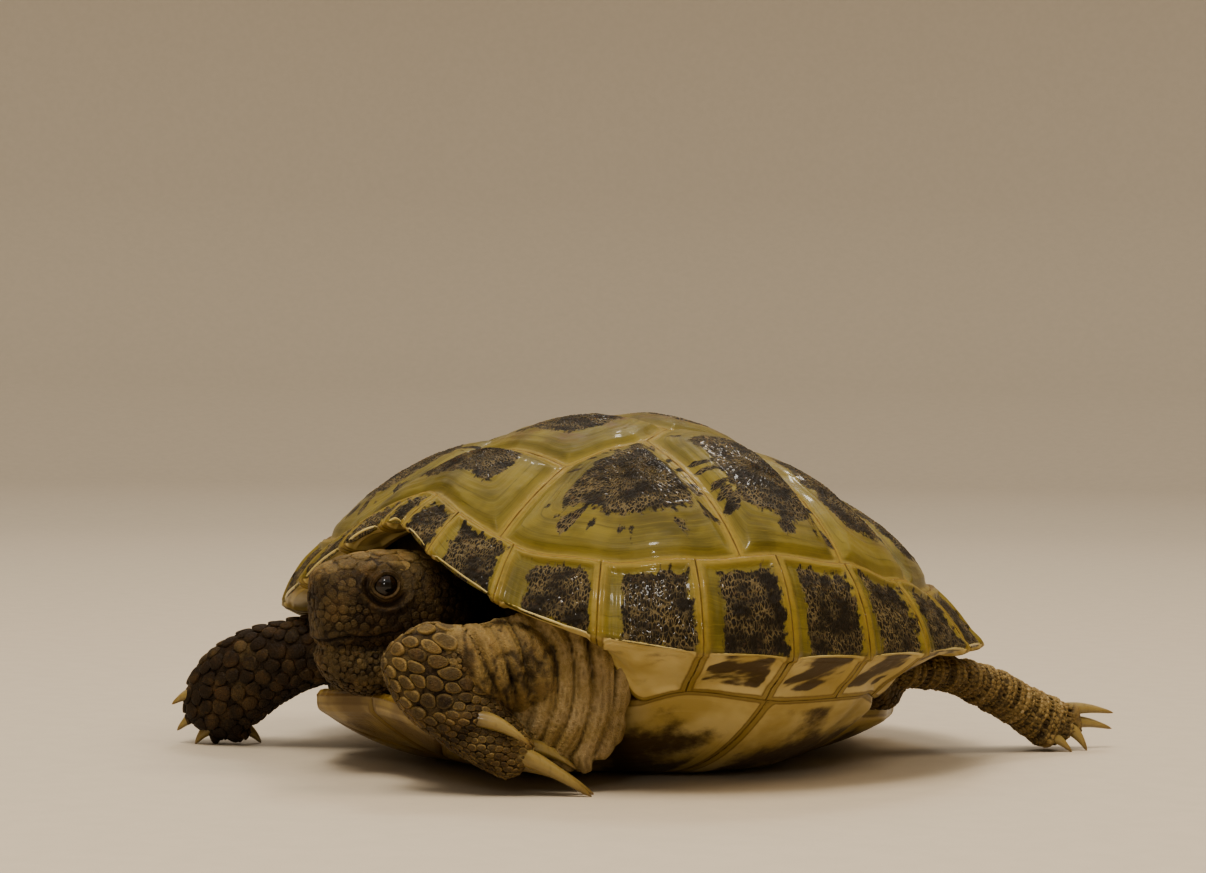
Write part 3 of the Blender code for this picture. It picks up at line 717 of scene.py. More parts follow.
def belly_relief(spot):
    """Relief and fields of a belly plate: nothing rises above the flat, so it rests level."""
    def relief(base, share, seam, inside, seed):
        angle = fold(np.degrees(np.arctan2(base[..., 0], -base[..., 1])))
        edge = table(BELLY_EDGE, angle)
        free = 1 - within(angle, BELLY_BRIDGE)
        turned = 1 - smooth(0.0, 1.5, edge - np.hypot(base[..., 0], base[..., 1]))
        groove = -0.22 * np.exp(-(seam / 0.38) ** 1.3) - 1.0 * free * turned ** 2
        rings = -0.03 * bell(np.sin(np.pi * (share * 9.0 + 0.3 * noise(base, 4.0, seed))), 0.0, 0.3)
        patch = noise(base * (0.55, 1.0, 0.8), 3.4, seed + 2, 3)
        blotch = spot + 0.35 * patch - 0.35 * smooth(0.55, 0.98, share)
        blotch *= smooth(0.5, 2.2, seam)
        # the brown and red field makes the belly darker brown towards the front, from 14 mm in
        # front of the middle
        return groove + rings * smooth(0.5, 1.2, seam), {
            "blotch": np.clip(blotch, 0.0, 1.0), "pale": 1.0, "ring": share,
            "brown": 0.90 * smooth(-14.0, -26.0, base[..., 1])}
    return relief


BELLY_PLATE = 2.0           # thickness of a belly plate
BELLY_BIRTH = 0.3           # share of its birth plate
# How dark the blotch on each belly plate is
BELLY_SPOTS = {"gular": 0.30, "humeral": 0.42, "pectoral": 0.62, "abdominal": 0.66,
               "femoral": 0.60, "anal": 0.50}


def build_belly(material):
    for number, (name, *sides) in enumerate(BELLY_PLATES):
        outline = belly_outline(*sides)
        middle = resample(outline, TURNS).mean(0)
        for side, sign in SIDES:
            scute(f"{name}_{side}", on_side(outline, sign), middle * (sign, 1.0), BELLY_BIRTH,
                  belly_height, material, belly_relief(BELLY_SPOTS[name]),
                  SEEDS["belly"] + 2 * number + (sign < 0), facing=-1.0, thickness=BELLY_PLATE)


# ---------------------------------------------------------------- rim plates

RIM_COLUMNS = 60
RIM_TOP_ROWS = 46           # rows of points above the keel and below it
RIM_LOW_ROWS = 34
KEEL = 0.35                 # height of the ridge line round the rim


def spread(curve, rows):
    """Rows evenly spaced along each column of a grid of points."""
    step = np.linalg.norm(np.diff(curve, axis=0), axis=-1)
    length = np.concatenate((np.zeros((1, step.shape[1])), np.cumsum(step, axis=0)))
    out = np.empty((rows, curve.shape[1], 3))
    for column in range(curve.shape[1]):
        at = np.linspace(0.0, length[-1, column], rows)
        for k in range(3):
            out[:, column, k] = np.interp(at, length[:, column], curve[:, column, k])
    return out, length[-1]


def grid_normals(grid):
    """Outward normals of a grid of points."""
    return unit(np.cross(np.gradient(grid, axis=1), np.gradient(grid, axis=0)))


def rim_curves(start, end):
    """Upper face, underside and inside of a rim plate, as columns of points."""
    share = np.linspace(0.0, 1.0, RIM_COLUMNS)
    angle = start + (end - start) * share
    trim = math.degrees(SEAM / HALF_WIDTH)
    angle = np.clip(angle, start + trim, end - trim)
    size = fold(angle)
    radius = outline_radius(angle)
    tooth = share if abs(end) > abs(start) else 1 - share
    if start + end == 0 or start + end == 360:
        tooth = share * 0 + 0.5
    edge = radius + REAR_SERRATION * smooth(90, 135, size) * (tooth ** 2 - 0.3)
    edge += 0.35 * np.sin(np.pi * share)
    top = ring_share(angle) * radius + SEAM
    bridge = within(size, BRIDGE)
    low = rim_height(angle)
    free = radius - RIM_UNDERSIDE
    under = free + (table(BELLY_EDGE, size) + SEAM * 2 - free) * bridge
    under_low = low - 0.2 + (table(BELLY_EDGE_HEIGHT, size) - low + 0.2) * bridge

    def at(r, z):
        return np.concatenate((polar(angle, r), z[..., None]), -1)

    t = np.linspace(0.0, 1.0, 60)[:, None]
    r = top + (radius - top) * t * 0.995
    plan = polar(angle, r)
    flare = 0.45 * (0.4 + 0.6 * np.sin(np.pi * share)) * smooth(0.0, 0.45, t)
    outer = on_surface(shell_height, plan) + surface_normal(shell_height, plan) * flare[..., None]
    keel = at(edge + 0.2, low)[None]
    pull = smooth(0.80, 1.0, t)[..., None]
    outer = outer * (1 - pull) + (keel + (outer - outer[-1:])) * pull
    s = np.linspace(0.0, 1.0, 30)[:, None]
    lip = edge - 0.9 * bridge - 0.5 * (1 - bridge)
    across = lip + (under - lip) * s
    sag = (0.5 + 0.5 * bridge) * np.sin(np.pi * np.clip(s * 1.4, 0, 1)) * (1 - bridge * 0.4)
    lower = at(across, low - 0.35 + (under_low - low + 0.35) * s ** (1 + 0.25 * bridge) - sag * 0.6)
    lower = np.concatenate((keel, lower))
    heel = at(under, under_low + PLATE)
    plan = polar(angle, top)
    brow = on_surface(shell_height, plan) - surface_normal(shell_height, plan) * PLATE
    share = bridge[:, None]
    inner = ((heel + brow) / 2) * (1 - share) + at(radius - 2.9, low + 1.3) * share
    return outer, lower, np.stack((heel, inner, brow))


def rim_plate(name, start, end, material, seed, dark_box, streaks, grain, mirror=False):
    """Plate of the rim between two angles.  dark_box is its birth plate: front and rear
    share, how far below the top it starts and what share of the height it fills."""
    outer, lower, inside = rim_curves(start, end)
    outer, height = spread(outer, RIM_TOP_ROWS)
    lower, drop = spread(lower, RIM_LOW_ROWS)
    grid = np.concatenate((outer, lower[1:]))
    normal = grid_normals(grid)
    down = np.concatenate((np.linspace(0, 1, RIM_TOP_ROWS)[:, None] * height,
                           height + np.linspace(0, 1, RIM_LOW_ROWS)[1:, None] * drop))
    width = np.linalg.norm(np.diff(grid, axis=1), axis=-1)
    along = np.concatenate((np.zeros((len(grid), 1)), np.cumsum(width, axis=1)), 1)
    whole = along[:, -1:]
    u = along / whole
    side = np.minimum(along, whole - along)
    seam = np.minimum(np.minimum(side, down), height + drop - down)
    to_keel = down - height
    above = to_keel < 0
    v = np.clip(down / height, 0, 1)

    front, rear, gap, fill = dark_box
    edge = np.minimum(np.minimum((u - front) * whole, (rear - u) * whole), down - gap)
    edge = np.minimum(edge, fill * height - down)
    wave = noise(grid, 1.6, seed, 2)
    fleck = noise(np.stack((along / 0.5, down / 2.2, down * 0 + seed), -1), 1.0, seed + 4)
    hair = noise(grid, 0.5, seed + 7, 2)
    dark = edge + 0.4 * wave + 0.30 * hair + 0.6 * (fleck - 0.1) * smooth(gap + 1.6, gap, down)

    lift = -0.24 + 0.07 * bell(seam, 0.30, 0.15) - 0.05 * bell(seam, 0.60, 0.11)
    lift += 0.36 * smooth(0.55, 1.35, seam)
    lift += 0.22 * np.sin(np.pi * u) * smooth(0.6, 2.5, seam)
    rings = np.sin(2 * np.pi * (np.clip(-edge, 0, None) / 0.75 + 0.2 * wave))
    lift += 0.03 * rings * smooth(0.2, 0.8, -edge) * smooth(0.3, 0.9, seam) * above
    lift += 0.09 * bell(edge, 0.0, 0.2) * above
    pits = smooth(-0.1, 0.4, edge) * smooth(0.0, -0.5, to_keel)
    lift += birth_pits(grid * grain, seed) * pits
    lift += KEEL * bell(to_keel, 0.0, 0.28) * smooth(0.1, 0.9, side)
    lift += 0.10 * (bell(to_keel, 1.0, 0.18) - bell(to_keel, 1.45, 0.16)) * smooth(0.4, 1.2, side)
    lift += 0.04 * noise(grid, 1.8, seed + 2, 2)
    points = grid + normal * lift[..., None]

    streak = np.stack(((along * 0.86 - to_keel * 0.5) / 4.2, (along * 0.5 + to_keel * 0.86) / 1.3,
                       along * 0 + seed), -1)
    ribs = noise(streak, 1.0, seed + 6, 3)
    blotch = streaks * (0.36 + 0.62 * ribs + 0.24 * bell(u, 0.55, 0.3)) * smooth(0.5, 1.1, to_keel)
    blotch *= smooth(0.9, 1.5, side) * smooth(0.9, 1.6, height + drop - down)
    fields = {"seam": seam, "dark": smooth(-0.6, 0.6, dark), "brown": 0.0 * u,
              "pale": smooth(-0.22, 0.05, to_keel + 0.06 * wave), "blotch": blotch,
              "ring": np.where(above, v, 1.0) + 0.03 * wave,
              "spoke": np.stack((along * 2.0, down * 0.9, along * 0 + seed), -1)}
    points = np.concatenate((points, inside))
    fields = {key: np.concatenate((value, np.repeat(value[-1:], 3, 0)))
              for key, value in fields.items()}
    fields["seam"][-3:] = 0.0
    rows = len(points)
    faces = grid_faces(rows, RIM_COLUMNS, closed=False, flip=True)
    last = (rows - 1) * RIM_COLUMNS
    faces += [(c + 1, c, last + c, last + c + 1)[::-1] for c in range(RIM_COLUMNS - 1)]
    faces.append([r * RIM_COLUMNS for r in range(rows)])
    faces.append([r * RIM_COLUMNS + RIM_COLUMNS - 1 for r in range(rows)][::-1])
    points = points.reshape(-1, 3)
    fields = {key: value.reshape(-1, *value.shape[2:]) for key, value in fields.items()}
    fields["grain"] = points * grain + seed * RIM_SEED_SHIFT
    if mirror:
        points = points * (-1.0, 1.0, 1.0)
        faces = [face[::-1] for face in faces]
    return make_object(name + "_horn", points, faces, material, fields, (name,))


# Birth plate of each rim plate: front and rear share, gap above, share of the height; then
# how streaked the underside is, and how much longer the grain runs along the rim
RIM_LOOKS = ((0.10, 0.90, 0.7, 0.97, 0.0, 2.2), (0.20, 0.90, 0.8, 0.95, 0.0, 2.6),
             (0.28, 0.92, 1.3, 0.95, 0.1, 1.3), (0.26, 0.92, 1.3, 0.96, 0.40, 1.0),
             (0.24, 0.93, 1.3, 0.97, 1.0, 1.0), (0.22, 0.92, 1.3, 0.97, 1.0, 1.0),
             (0.22, 0.92, 1.2, 0.97, 1.0, 1.0), (0.20, 0.92, 1.1, 0.97, 0.9, 1.0),
             (0.18, 0.90, 1.0, 0.97, 0.5, 1.0), (0.16, 0.90, 1.0, 0.97, 0.3, 1.0),
             (0.16, 0.88, 1.0, 0.97, 0.2, 1.0))


def build_rim(material):
    for index, (a, b) in enumerate(zip(MARGINAL_SEAMS, MARGINAL_SEAMS[1:])):
        *dark_box, streaks, stretch = RIM_LOOKS[index]
        way = unit(polar((a + b) / 2 + 90.0, 1.0))
        grain = 1.0 - (1.0 - 1.0 / stretch) * np.abs(np.append(way, 0.0))
        for side, sign in SIDES:
            rim_plate(f"marginal_{side}_{index + 1}", a, b, material,
                      SEEDS["marginal"] + 2 * index + (sign < 0), dark_box, streaks, grain,
                      mirror=sign < 0)
    rim_plate("nuchal", -MARGINAL_SEAMS[0], MARGINAL_SEAMS[0], material, SEEDS["nuchal"],
              (0.2, 0.8, 0.8, 0.9), 0.0, np.ones(3))
    rim_plate("supracaudal", MARGINAL_SEAMS[-1], 360 - MARGINAL_SEAMS[-1], material,
              SEEDS["supracaudal"], (0.2, 0.8, 0.9, 0.9), 0.2, np.ones(3))


# ---------------------------------------------------------------- flesh

FLOOR = (-99.0, -99.0, 0.0)     # lowest x, y and z of a place: the skin stops at the floor
# Trunk wall between the two shells: angle, how far out it stands
TRUNK_WALL = ((0, 20.0), (18, 23.5), (32, 27.5), (46, 29.8), (58, 33.0), (100, 33.0),
              (118, 27.5), (140, 28.5), (165, 29.5), (180, 29.5))
# Limbs: x, y, z, half width, half depth; left-hand ones have positive x
NEAR_UPPER_ARM = ((17.0, -18.0, 13.4, 5.0, 4.2), (20.0, -25.6, 13.4, 4.9, 4.1),
                  (18.6, -33.0, 13.6, 4.6, 3.8), (15.4, -38.6, 14.0, 4.0, 3.2))
NEAR_FOREARM = ((13.4, -41.5, 17.0, 2.0, 1.8), (14.0, -41.0, 15.8, 4.0, 3.0),
                (15.6, -39.2, 11.8, 4.6, 3.3), (18.2, -36.4, 7.9, 3.8, 2.9),
                (20.4, -33.8, 5.0, 3.0, 2.4), (21.6, -32.4, 3.4, 2.3, 1.8))
FAR_ARM = ((-15.0, -17.0, 13.4, 4.4, 4.0), (-20.0, -23.6, 13.2, 4.1, 3.9),
           (-25.0, -28.6, 11.8, 4.2, 3.8), (-30.2, -31.6, 9.8, 4.9, 3.8),
           (-34.2, -33.6, 7.0, 5.2, 3.6), (-36.0, -34.2, 4.4, 4.8, 3.2),
           (-36.4, -34.2, 2.2, 3.8, 2.7))
NEAR_HINDLEG = ((17.0, 12.0, 11.4, 5.0, 3.2), (23.6, 21.0, 11.0, 4.3, 2.5),
                (25.8, 29.0, 10.0, 3.3, 2.3), (26.2, 36.0, 7.8, 2.9, 2.8),
                (27.0, 41.0, 5.35, 2.8, 2.9), (27.6, 44.6, 3.5, 3.0, 3.3),
                (27.9, 46.8, 2.7, 2.5, 2.3))
FAR_HINDLEG = ((-17.0, 12.0, 11.4, 5.0, 3.4), (-23.8, 21.0, 10.8, 4.3, 2.8),
               (-28.4, 28.0, 8.6, 3.2, 2.8), (-30.6, 29.4, 5.2, 3.1, 2.9),
               (-31.2, 29.2, 2.4, 3.2, 3.0), (-31.2, 29.2, 0.3, 3.0, 2.8))
NECK = ((-0.4, -13.0, 16.0, 6.2, 5.6), (-0.2, -20.0, 16.4, 6.0, 6.0),
        (-0.2, -28.0, 17.0, 5.3, 6.0))
THROAT = ((-0.2, -20.0, 12.0, 6.0, 4.4), (-0.6, -28.0, 12.2, 5.8, 4.0),
          (-1.4, -34.0, 12.4, 5.2, 3.9), (-2.4, -38.2, 13.0, 4.0, 3.5),
          (-3.2, -41.0, 14.8, 2.4, 1.8))
CHEST = ((-15.0, -22.0, 11.0, 4.0, 4.4), (-7.0, -26.0, 10.6, 4.6, 4.8),
         (0.0, -27.5, 10.2, 5.0, 4.8), (7.0, -26.0, 10.6, 4.6, 4.8),
         (15.0, -22.0, 11.0, 4.0, 4.4))
TAIL = ((0.0, 24.0, 10.6, 3.3, 2.3), (1.2, 31.0, 10.5, 2.7, 2.0), (3.4, 37.2, 8.6, 1.9, 1.6),
        (5.0, 40.6, 6.3, 0.9, 0.8))
# Loose skin in front of the bridge and behind it: it hangs from the shell in pleats
NEAR_SLEEVE = ((19.4, -28.4, 19.6, 8.6, 2.6), (20.4, -27.6, 15.0, 8.8, 3.4),
               (21.6, -26.4, 10.0, 7.8, 3.2), (23.2, -24.8, 6.4, 5.4, 2.4),
               (24.6, -23.4, 4.6, 2.8, 1.4))
FAR_SLEEVE = tuple((-x - 2.0, y + 3.5, z, 0.75 * a, 0.8 * b) for x, y, z, a, b in NEAR_SLEEVE)
NEAR_HIP = ((21.0, 17.0, 13.0, 6.0, 3.0), (22.4, 20.0, 9.0, 5.6, 3.2), (22.0, 20.0, 6.6, 3.6, 2.0))
FAR_HIP = tuple((-x, y, z, a, b) for x, y, z, a, b in NEAR_HIP)
# Claws: root, tip, radius at the root
NEAR_HAND_CLAWS = (((20.0, -37.6, 8.2), (24.5, -33.5, 5.8), 1.15),
                   ((20.6, -35.0, 4.9), (26.8, -26.9, 0.0), 1.35),
                   ((21.6, -32.6, 3.4), (25.6, -25.6, 0.0), 1.1),
                   ((21.0, -31.4, 5.0), (23.8, -26.6, 2.6), 1.0))
FAR_HAND_CLAWS = (((-37.0, -36.4, 6.0), (-39.0, -39.4, 4.9), 1.0),
                  ((-37.2, -35.6, 3.4), (-39.4, -38.4, 1.6), 1.1),
                  ((-36.4, -34.4, 1.8), (-37.8, -36.8, 0.0), 1.1),
                  ((-34.4, -32.8, 1.8), (-34.2, -29.6, 0.0), 1.0))
NEAR_FOOT_CLAWS = (((28.6, 45.6, 4.6), (31.4, 52.6, 4.4), 1.0),
                   ((28.6, 46.4, 3.0), (31.0, 52.8, 2.4), 1.0),
                   ((29.0, 45.9, 2.9), (31.0, 48.2, 0.0), 1.0),
                   ((28.6, 42.9, 1.9), (30.8, 45.6, 0.0), 0.95))
FAR_FOOT_CLAWS = tuple(((-31.2 + dx, 27.0, 1.4), (-31.2 + 1.5 * dx, 21.4, 0.4), 0.95)
                       for dx in (-2.6, -0.9, 0.9, 2.6))

HEAD_CENTRE = np.array([-0.4, -33.7, 19.8])
HEAD_YAW = 16.0             # turned to the right, in degrees
HEAD_PITCH = -3.0
# Cross-sections of the head: forward, half width, top, bottom
HEAD_SECTIONS = ((9.4, 1.4, 1.6, -2.6), (9.2, 2.5, 2.9, -3.9), (8.6, 3.3, 3.9, -4.9),
                 (7.4, 3.9, 4.5, -5.5), (5.0, 4.6, 5.1, -5.8), (2.2, 5.3, 5.4, -5.8),
                 (-0.8, 6.0, 5.3, -5.8), (-4.0, 6.4, 5.0, -5.7), (-7.0, 5.9, 4.4, -5.2),
                 (-9.0, 4.9, 3.6, -4.4))
EYE_RADIUS = 1.72
EYE_PLACE = np.array([2.2, 3.95, 1.7])      # left eye: forward, sideways and up on the head

SKIN_GRAIN = 0.34           # size of the skin's mesh before the fine parts are divided
RELAXING = 5                # how often the joins between the parts are smoothed
THINNING = 0.93             # share of the hidden faces that is taken away
HEAD_TURNS, TRUNK_TURNS = 40, 72    # points in a ring of the head and of the trunk
TRUNK_GAP = 1.4             # between the inside of the upper shell and the trunk
TRUNK_FLOOR = 4.2           # height of the trunk above the belly's underside
HIDDEN_SIDE = (62.0, 104.0, 34.5)   # angles between which the shell's bridge hides the
                                    # skin, and as far out as this
HIDDEN_WALL = 4.0           # no skin is seen this far inside the trunk's wall
HEAD_BACK, HEAD_LOW, HEAD_WIDE = -6.5, -6.6, 8.0    # the head's skin is finer within this
EYE_FINE = 3.9              # and finer still this near the middle of an eye
SKIN_LOWEST = 0.02          # no skin lies below this height
SCALES_LOWEST = 0.01        # and no scale below this one


def catmull(points, steps):
    """Smooth curve through a few points, steps per span."""
    rows = np.array([points[0], *points, points[-1]], float)
    t = (np.arange(steps) / steps)[:, None]
    spans = []
    for p0, p1, p2, p3 in zip(rows, rows[1:], rows[2:], rows[3:]):
        spans.append(0.5 * (2 * p1 + (p2 - p0) * t + (2 * p0 - 5 * p1 + 4 * p2 - p3) * t * t
                            + (3 * p1 - p0 - 3 * p2 + p3) * t ** 3))
    return np.vstack((*spans, rows[-1:]))


class Tube:
    """A round path: centres, half sizes and the three directions at each row."""

    def __init__(self, stations, side, steps=12):
        rows = catmull(stations, steps)
        self.centre, self.half = rows[:, :3], rows[:, 3:]
        self.ahead = unit(np.gradient(self.centre, axis=0))
        side = np.array(side, float)
        self.across = unit(side - self.ahead * (self.ahead @ side)[:, None])
        self.up = np.cross(self.ahead, self.across)
        step = np.linalg.norm(np.diff(self.centre, axis=0), axis=1)
        self.length = np.concatenate(([0.0], np.cumsum(step)))

    def rings(self, segments=32):
        a = np.linspace(0, 2 * np.pi, segments, endpoint=False)[None, :, None]
        return (self.centre[:, None] + self.across[:, None] * self.half[:, None, :1] * np.cos(a)
                + self.up[:, None] * self.half[:, None, 1:] * np.sin(a))

    def locate(self, points):
        """Nearness (1 on the tube's surface), length along, angle round and row of points."""
        best = np.full(len(points), 1e9)
        row = np.zeros(len(points), int)
        for k in range(len(self.centre)):
            gap = points - self.centre[k]
            d = ((gap @ self.across[k] / self.half[k, 0]) ** 2
                 + (gap @ self.up[k] / self.half[k, 1]) ** 2 + (gap @ self.ahead[k] / 1.2) ** 2)
            closer = d < best
            best[closer], row[closer] = d[closer], k
        gap = points - self.centre[row]
        along = self.length[row] + np.sum(gap * self.ahead[row], 1)
        angle = np.arctan2(np.sum(gap * self.up[row], 1), np.sum(gap * self.across[row], 1))
        return np.sqrt(best), along, angle, row


def heading(turn, rise):
    """Direction turned from the nose towards the animal's left, and raised; in degrees."""
    a, e = math.radians(turn), math.radians(rise)
    return np.array([math.sin(a) * math.cos(e), -math.cos(a) * math.cos(e), math.sin(e)])


def head_axes():
    """The head's directions forward, to its left and up, as rows."""
    ahead = heading(-HEAD_YAW, HEAD_PITCH)
    left = unit(-np.cross(ahead, (0.0, 0.0, 1.0)))
    return np.stack((ahead, left, -np.cross(left, ahead)))


def head_point(place):
    """Points from their places forward, sideways and up on the head."""
    return HEAD_CENTRE + np.asarray(place, float) @ head_axes()


def head_place(points):
    """Forward, sideways and up of points, measured on the head."""
    return (points - HEAD_CENTRE) @ head_axes().T


def head_rings():
    """Rings of the head from its nose to its back, rounded squares in section."""
    rows = catmull(HEAD_SECTIONS, 6)
    a = np.linspace(0, 2 * np.pi, HEAD_TURNS, endpoint=False)
    c, s = np.cos(a), np.sin(a)
    reach = (np.abs(c) ** 2.4 + np.abs(s) ** 2.4) ** (-1 / 2.4)
    tall = np.where(s > 0, rows[:, 2:3], -rows[:, 3:4])
    places = np.stack(np.broadcast_arrays(rows[:, :1], c * reach * rows[:, 1:2], s * reach * tall),
                      -1)
    return head_point(places)


def trunk_rings():
    """Body inside the shell, a little smaller than the frame's."""
    angle = np.arange(TRUNK_TURNS) * 360.0 / TRUNK_TURNS - 180.0
    wall = table(TRUNK_WALL, fold(angle)) - 0.4
    radius = outline_radius(angle)
    skin = PLATE + TRUNK_GAP
    rings = []
    for k, share in enumerate((0.35, 0.6, 0.78)):
        plan = polar(angle, np.minimum(share * radius, wall - 1.0 + 0.4 * k))
        rings.append(on_surface(shell_height, plan) - surface_normal(shell_height, plan) * skin)
    plan = polar(angle, wall)
    roof = np.minimum(rings[2][:, 2] - 0.8, shell_height(*plan.T) - skin - 0.6)
    low = belly_height(*(plan * 0.97).T) + TRUNK_FLOOR
    for z in (roof - 1.2, (roof + low) / 2, low + 1.0):
        rings.append(np.column_stack((plan, z)))
    for share in (0.85, 0.4):
        plan = polar(angle, share * np.minimum(wall, table(BELLY_EDGE, fold(angle)) - 1.0))
        rings.append(on_surface(belly_height, plan) + (0.0, 0.0, TRUNK_FLOOR))
    return np.stack(rings)


LIMBS = {
    "near_sleeve": Tube(NEAR_SLEEVE, (0.67, 0.74, 0.0)),
    "far_sleeve": Tube(FAR_SLEEVE, (0.67, -0.74, 0.0)),
    "near_hip": Tube(NEAR_HIP, (0.5, -0.86, 0.0)),
    "far_hip": Tube(FAR_HIP, (0.5, 0.86, 0.0)),
    "near_upper": Tube(NEAR_UPPER_ARM, (0.0, 0.0, 1.0)),
    "near_forearm": Tube(NEAR_FOREARM, (0.46, 0.62, 0.63)),
    "far_arm": Tube(FAR_ARM, (-0.31, -0.37, 0.79)),
    "near_hind": Tube(NEAR_HINDLEG, (1.0, 0.0, 0.0)),
    "far_hind": Tube(FAR_HINDLEG, (1.0, 0.4, 0.0)),
    "tail": Tube(TAIL, (1.0, 0.0, 0.0)),
    "neck": Tube(NECK, (1.0, 0.0, 0.0)),
    "throat": Tube(THROAT, (1.0, 0.0, 0.0)),
    "chest": Tube(CHEST, (0.0, 1.0, 0.0)),
}
CLAWS = {"near_hand": NEAR_HAND_CLAWS, "far_hand": FAR_HAND_CLAWS,
         "near_foot": NEAR_FOOT_CLAWS, "far_foot": FAR_FOOT_CLAWS}
TOE_REACH = {"near_hand": 0.5, "far_hand": 1.3, "near_foot": 2.8, "far_foot": 1.6}
TOE_SHARE = 0.36            # the flesh covers no more of a claw than this
REGIONS = list(LIMBS) + ["head", "trunk"]
BODY_REACH = 37.0           # skin farther out than this is never the trunk's
TRUNK_NEAR = 1.35           # skin is the trunk's if it is this far from every limb's middle
HEAD_HALF = (9.6, 6.4, 5.9)


def toe(root, tip, radius, reach):
    """Fleshy cushion round the root of a claw, which it covers for the length of reach."""
    root, tip = np.array(root), np.array(tip)
    way = unit(tip - root)
    ends = [(*(root + way * (reach - back)), radius * size, radius * size)
            for back, size in ((5.0, 0.9), (2.6, 1.40), (0.9, 1.35), (0.0, 1.05))]
    return Tube(ends, (0.3, 0.2, 0.9), 5).rings(16)


def close(rings, points, faces):
    """Adds a closed solid made of rings to a list of points and faces."""
    count, segments = rings.shape[:2]
    start = sum(len(p) for p in points)
    points += [rings.reshape(-1, 3), rings[0].mean(0)[None], rings[-1].mean(0)[None]]
    faces += grid_faces(count, segments, start=start)
    total = start + count * segments
    faces += fan_faces(start, segments, total, flip=True)
    faces += fan_faces(total - segments, segments, total + 1)


def rough_flesh():
    """All the flesh as one mesh with no inner walls, still smooth; in millimetres."""
    points, faces = [], []
    close(trunk_rings(), points, faces)
    close(head_rings(), points, faces)
    for tube in LIMBS.values():
        close(np.maximum(tube.rings(), FLOOR), points, faces)
    for foot, claws in CLAWS.items():
        for claw in claws:
            length = float(np.linalg.norm(np.subtract(claw[1], claw[0])))
            cushion = toe(*claw, min(TOE_REACH[foot], TOE_SHARE * length))
            close(np.maximum(cushion, FLOOR), points, faces)
    mesh = bpy.data.meshes.new("rough_flesh")
    mesh.from_pydata(np.vstack(points).tolist(), [], faces)
    obj = link("rough_flesh", mesh)
    remesh = obj.modifiers.new("one_skin", "REMESH")
    remesh.mode = "VOXEL"
    remesh.voxel_size = SKIN_GRAIN
    relax = obj.modifiers.new("relax", "SMOOTH")
    relax.iterations = RELAXING
    return applied(obj)


def places_of(mesh):
    return read(mesh.vertices, "co", 3)


def divide(mesh, chosen):
    """Divides the faces whose points are all chosen."""
    bm = bmesh.new()
    bm.from_mesh(mesh)
    bm.verts.ensure_lookup_table()
    edges = [e for e in bm.edges if chosen[e.verts[0].index] and chosen[e.verts[1].index]]
    bmesh.ops.subdivide_edges(bm, edges=edges, cuts=1, use_grid_fill=True, smooth=0.0)
    bm.to_mesh(mesh)
    bm.free()


def thin_hidden(mesh, hidden):
    """Large faces where the shell covers the skin."""
    obj = link("thinning", mesh)
    group = obj.vertex_groups.new(name="hidden")
    group.add(np.flatnonzero(hidden).tolist(), 1.0, "REPLACE")
    thin = obj.modifiers.new("thin", "DECIMATE")
    thin.vertex_group = "hidden"
    thin.ratio = max(0.05, 1.0 - THINNING * hidden.mean())
    return applied(obj)


def hidden_skin(points):
    """True where the two shells hide the skin."""
    x, y = points[:, :2].T
    angle = fold(np.degrees(np.arctan2(x, -y)))
    reach = np.hypot(x, y)
    front, rear, out = HIDDEN_SIDE
    side = (angle > front) & (angle < rear) & (reach < out)
    return side | (reach < table(TRUNK_WALL, angle) - HIDDEN_WALL)


def region_of(points):
    """Number of the region each point belongs to, and its length and angle on its limb."""
    reach, along, angle = [], [], []
    for tube in LIMBS.values():
        near, length, turn, _ = tube.locate(points)
        reach.append(near)
        along.append(length)
        angle.append(turn)
    place = head_place(points)
    long, wide, tall = HEAD_HALF
    off = np.sqrt((place[:, 1] / wide) ** 2 + ((place[:, 2] + 0.3) / tall) ** 2
                  + ((np.abs(place[:, 0]) / long) ** 3))
    beyond = np.hypot(points[:, 0], points[:, 1]) > BODY_REACH
    reach += [off * 0.96, np.where(beyond, 99.0, TRUNK_NEAR)]
    along += [-place[:, 0], np.zeros(len(points))]
    angle += [np.arctan2(place[:, 2], place[:, 1]), np.zeros(len(points))]
    index = np.argmin(reach, 0)
    pick = np.arange(len(points))
    return index, np.array(along)[index, pick], np.array(angle)[index, pick]


# ---------------------------------------------------------------- skin

EYE_OPEN = (1.30, 0.98)     # half width and half height of the gap between the lids
LID = 0.26                  # thickness of the lids over the eyeballs
MOUTH_UP = -3.7
NOSTRIL = (1.05, 1.1)       # sideways and up


def eye_frame(sign):
    """Middle of an eye on the head, and its outward, forward and upward directions."""
    centre = EYE_PLACE * (1.0, sign, 1.0)
    out = unit(np.array([0.22, sign, 0.14]))
    up = unit(np.array([0.0, 0.0, 1.0]) - out * out[2])
    return centre, out, np.cross(up, out) * sign, up


def eye_distance(place):
    """Distance of places on the head from the middle of the nearer eye."""
    return np.minimum.reduce([np.linalg.norm(place - EYE_PLACE * (1.0, sign, 1.0), axis=1)
                              for _, sign in SIDES])


def lid_opening(x, y):
    """1 along the edge of the lids, less between them; the gap is drawn out backwards."""
    tall = EYE_OPEN[1] * (1.0 - 0.30 * smooth(0.0, -1.3, x))
    return np.hypot(x / EYE_OPEN[0], (y - 0.10 * x) / tall)


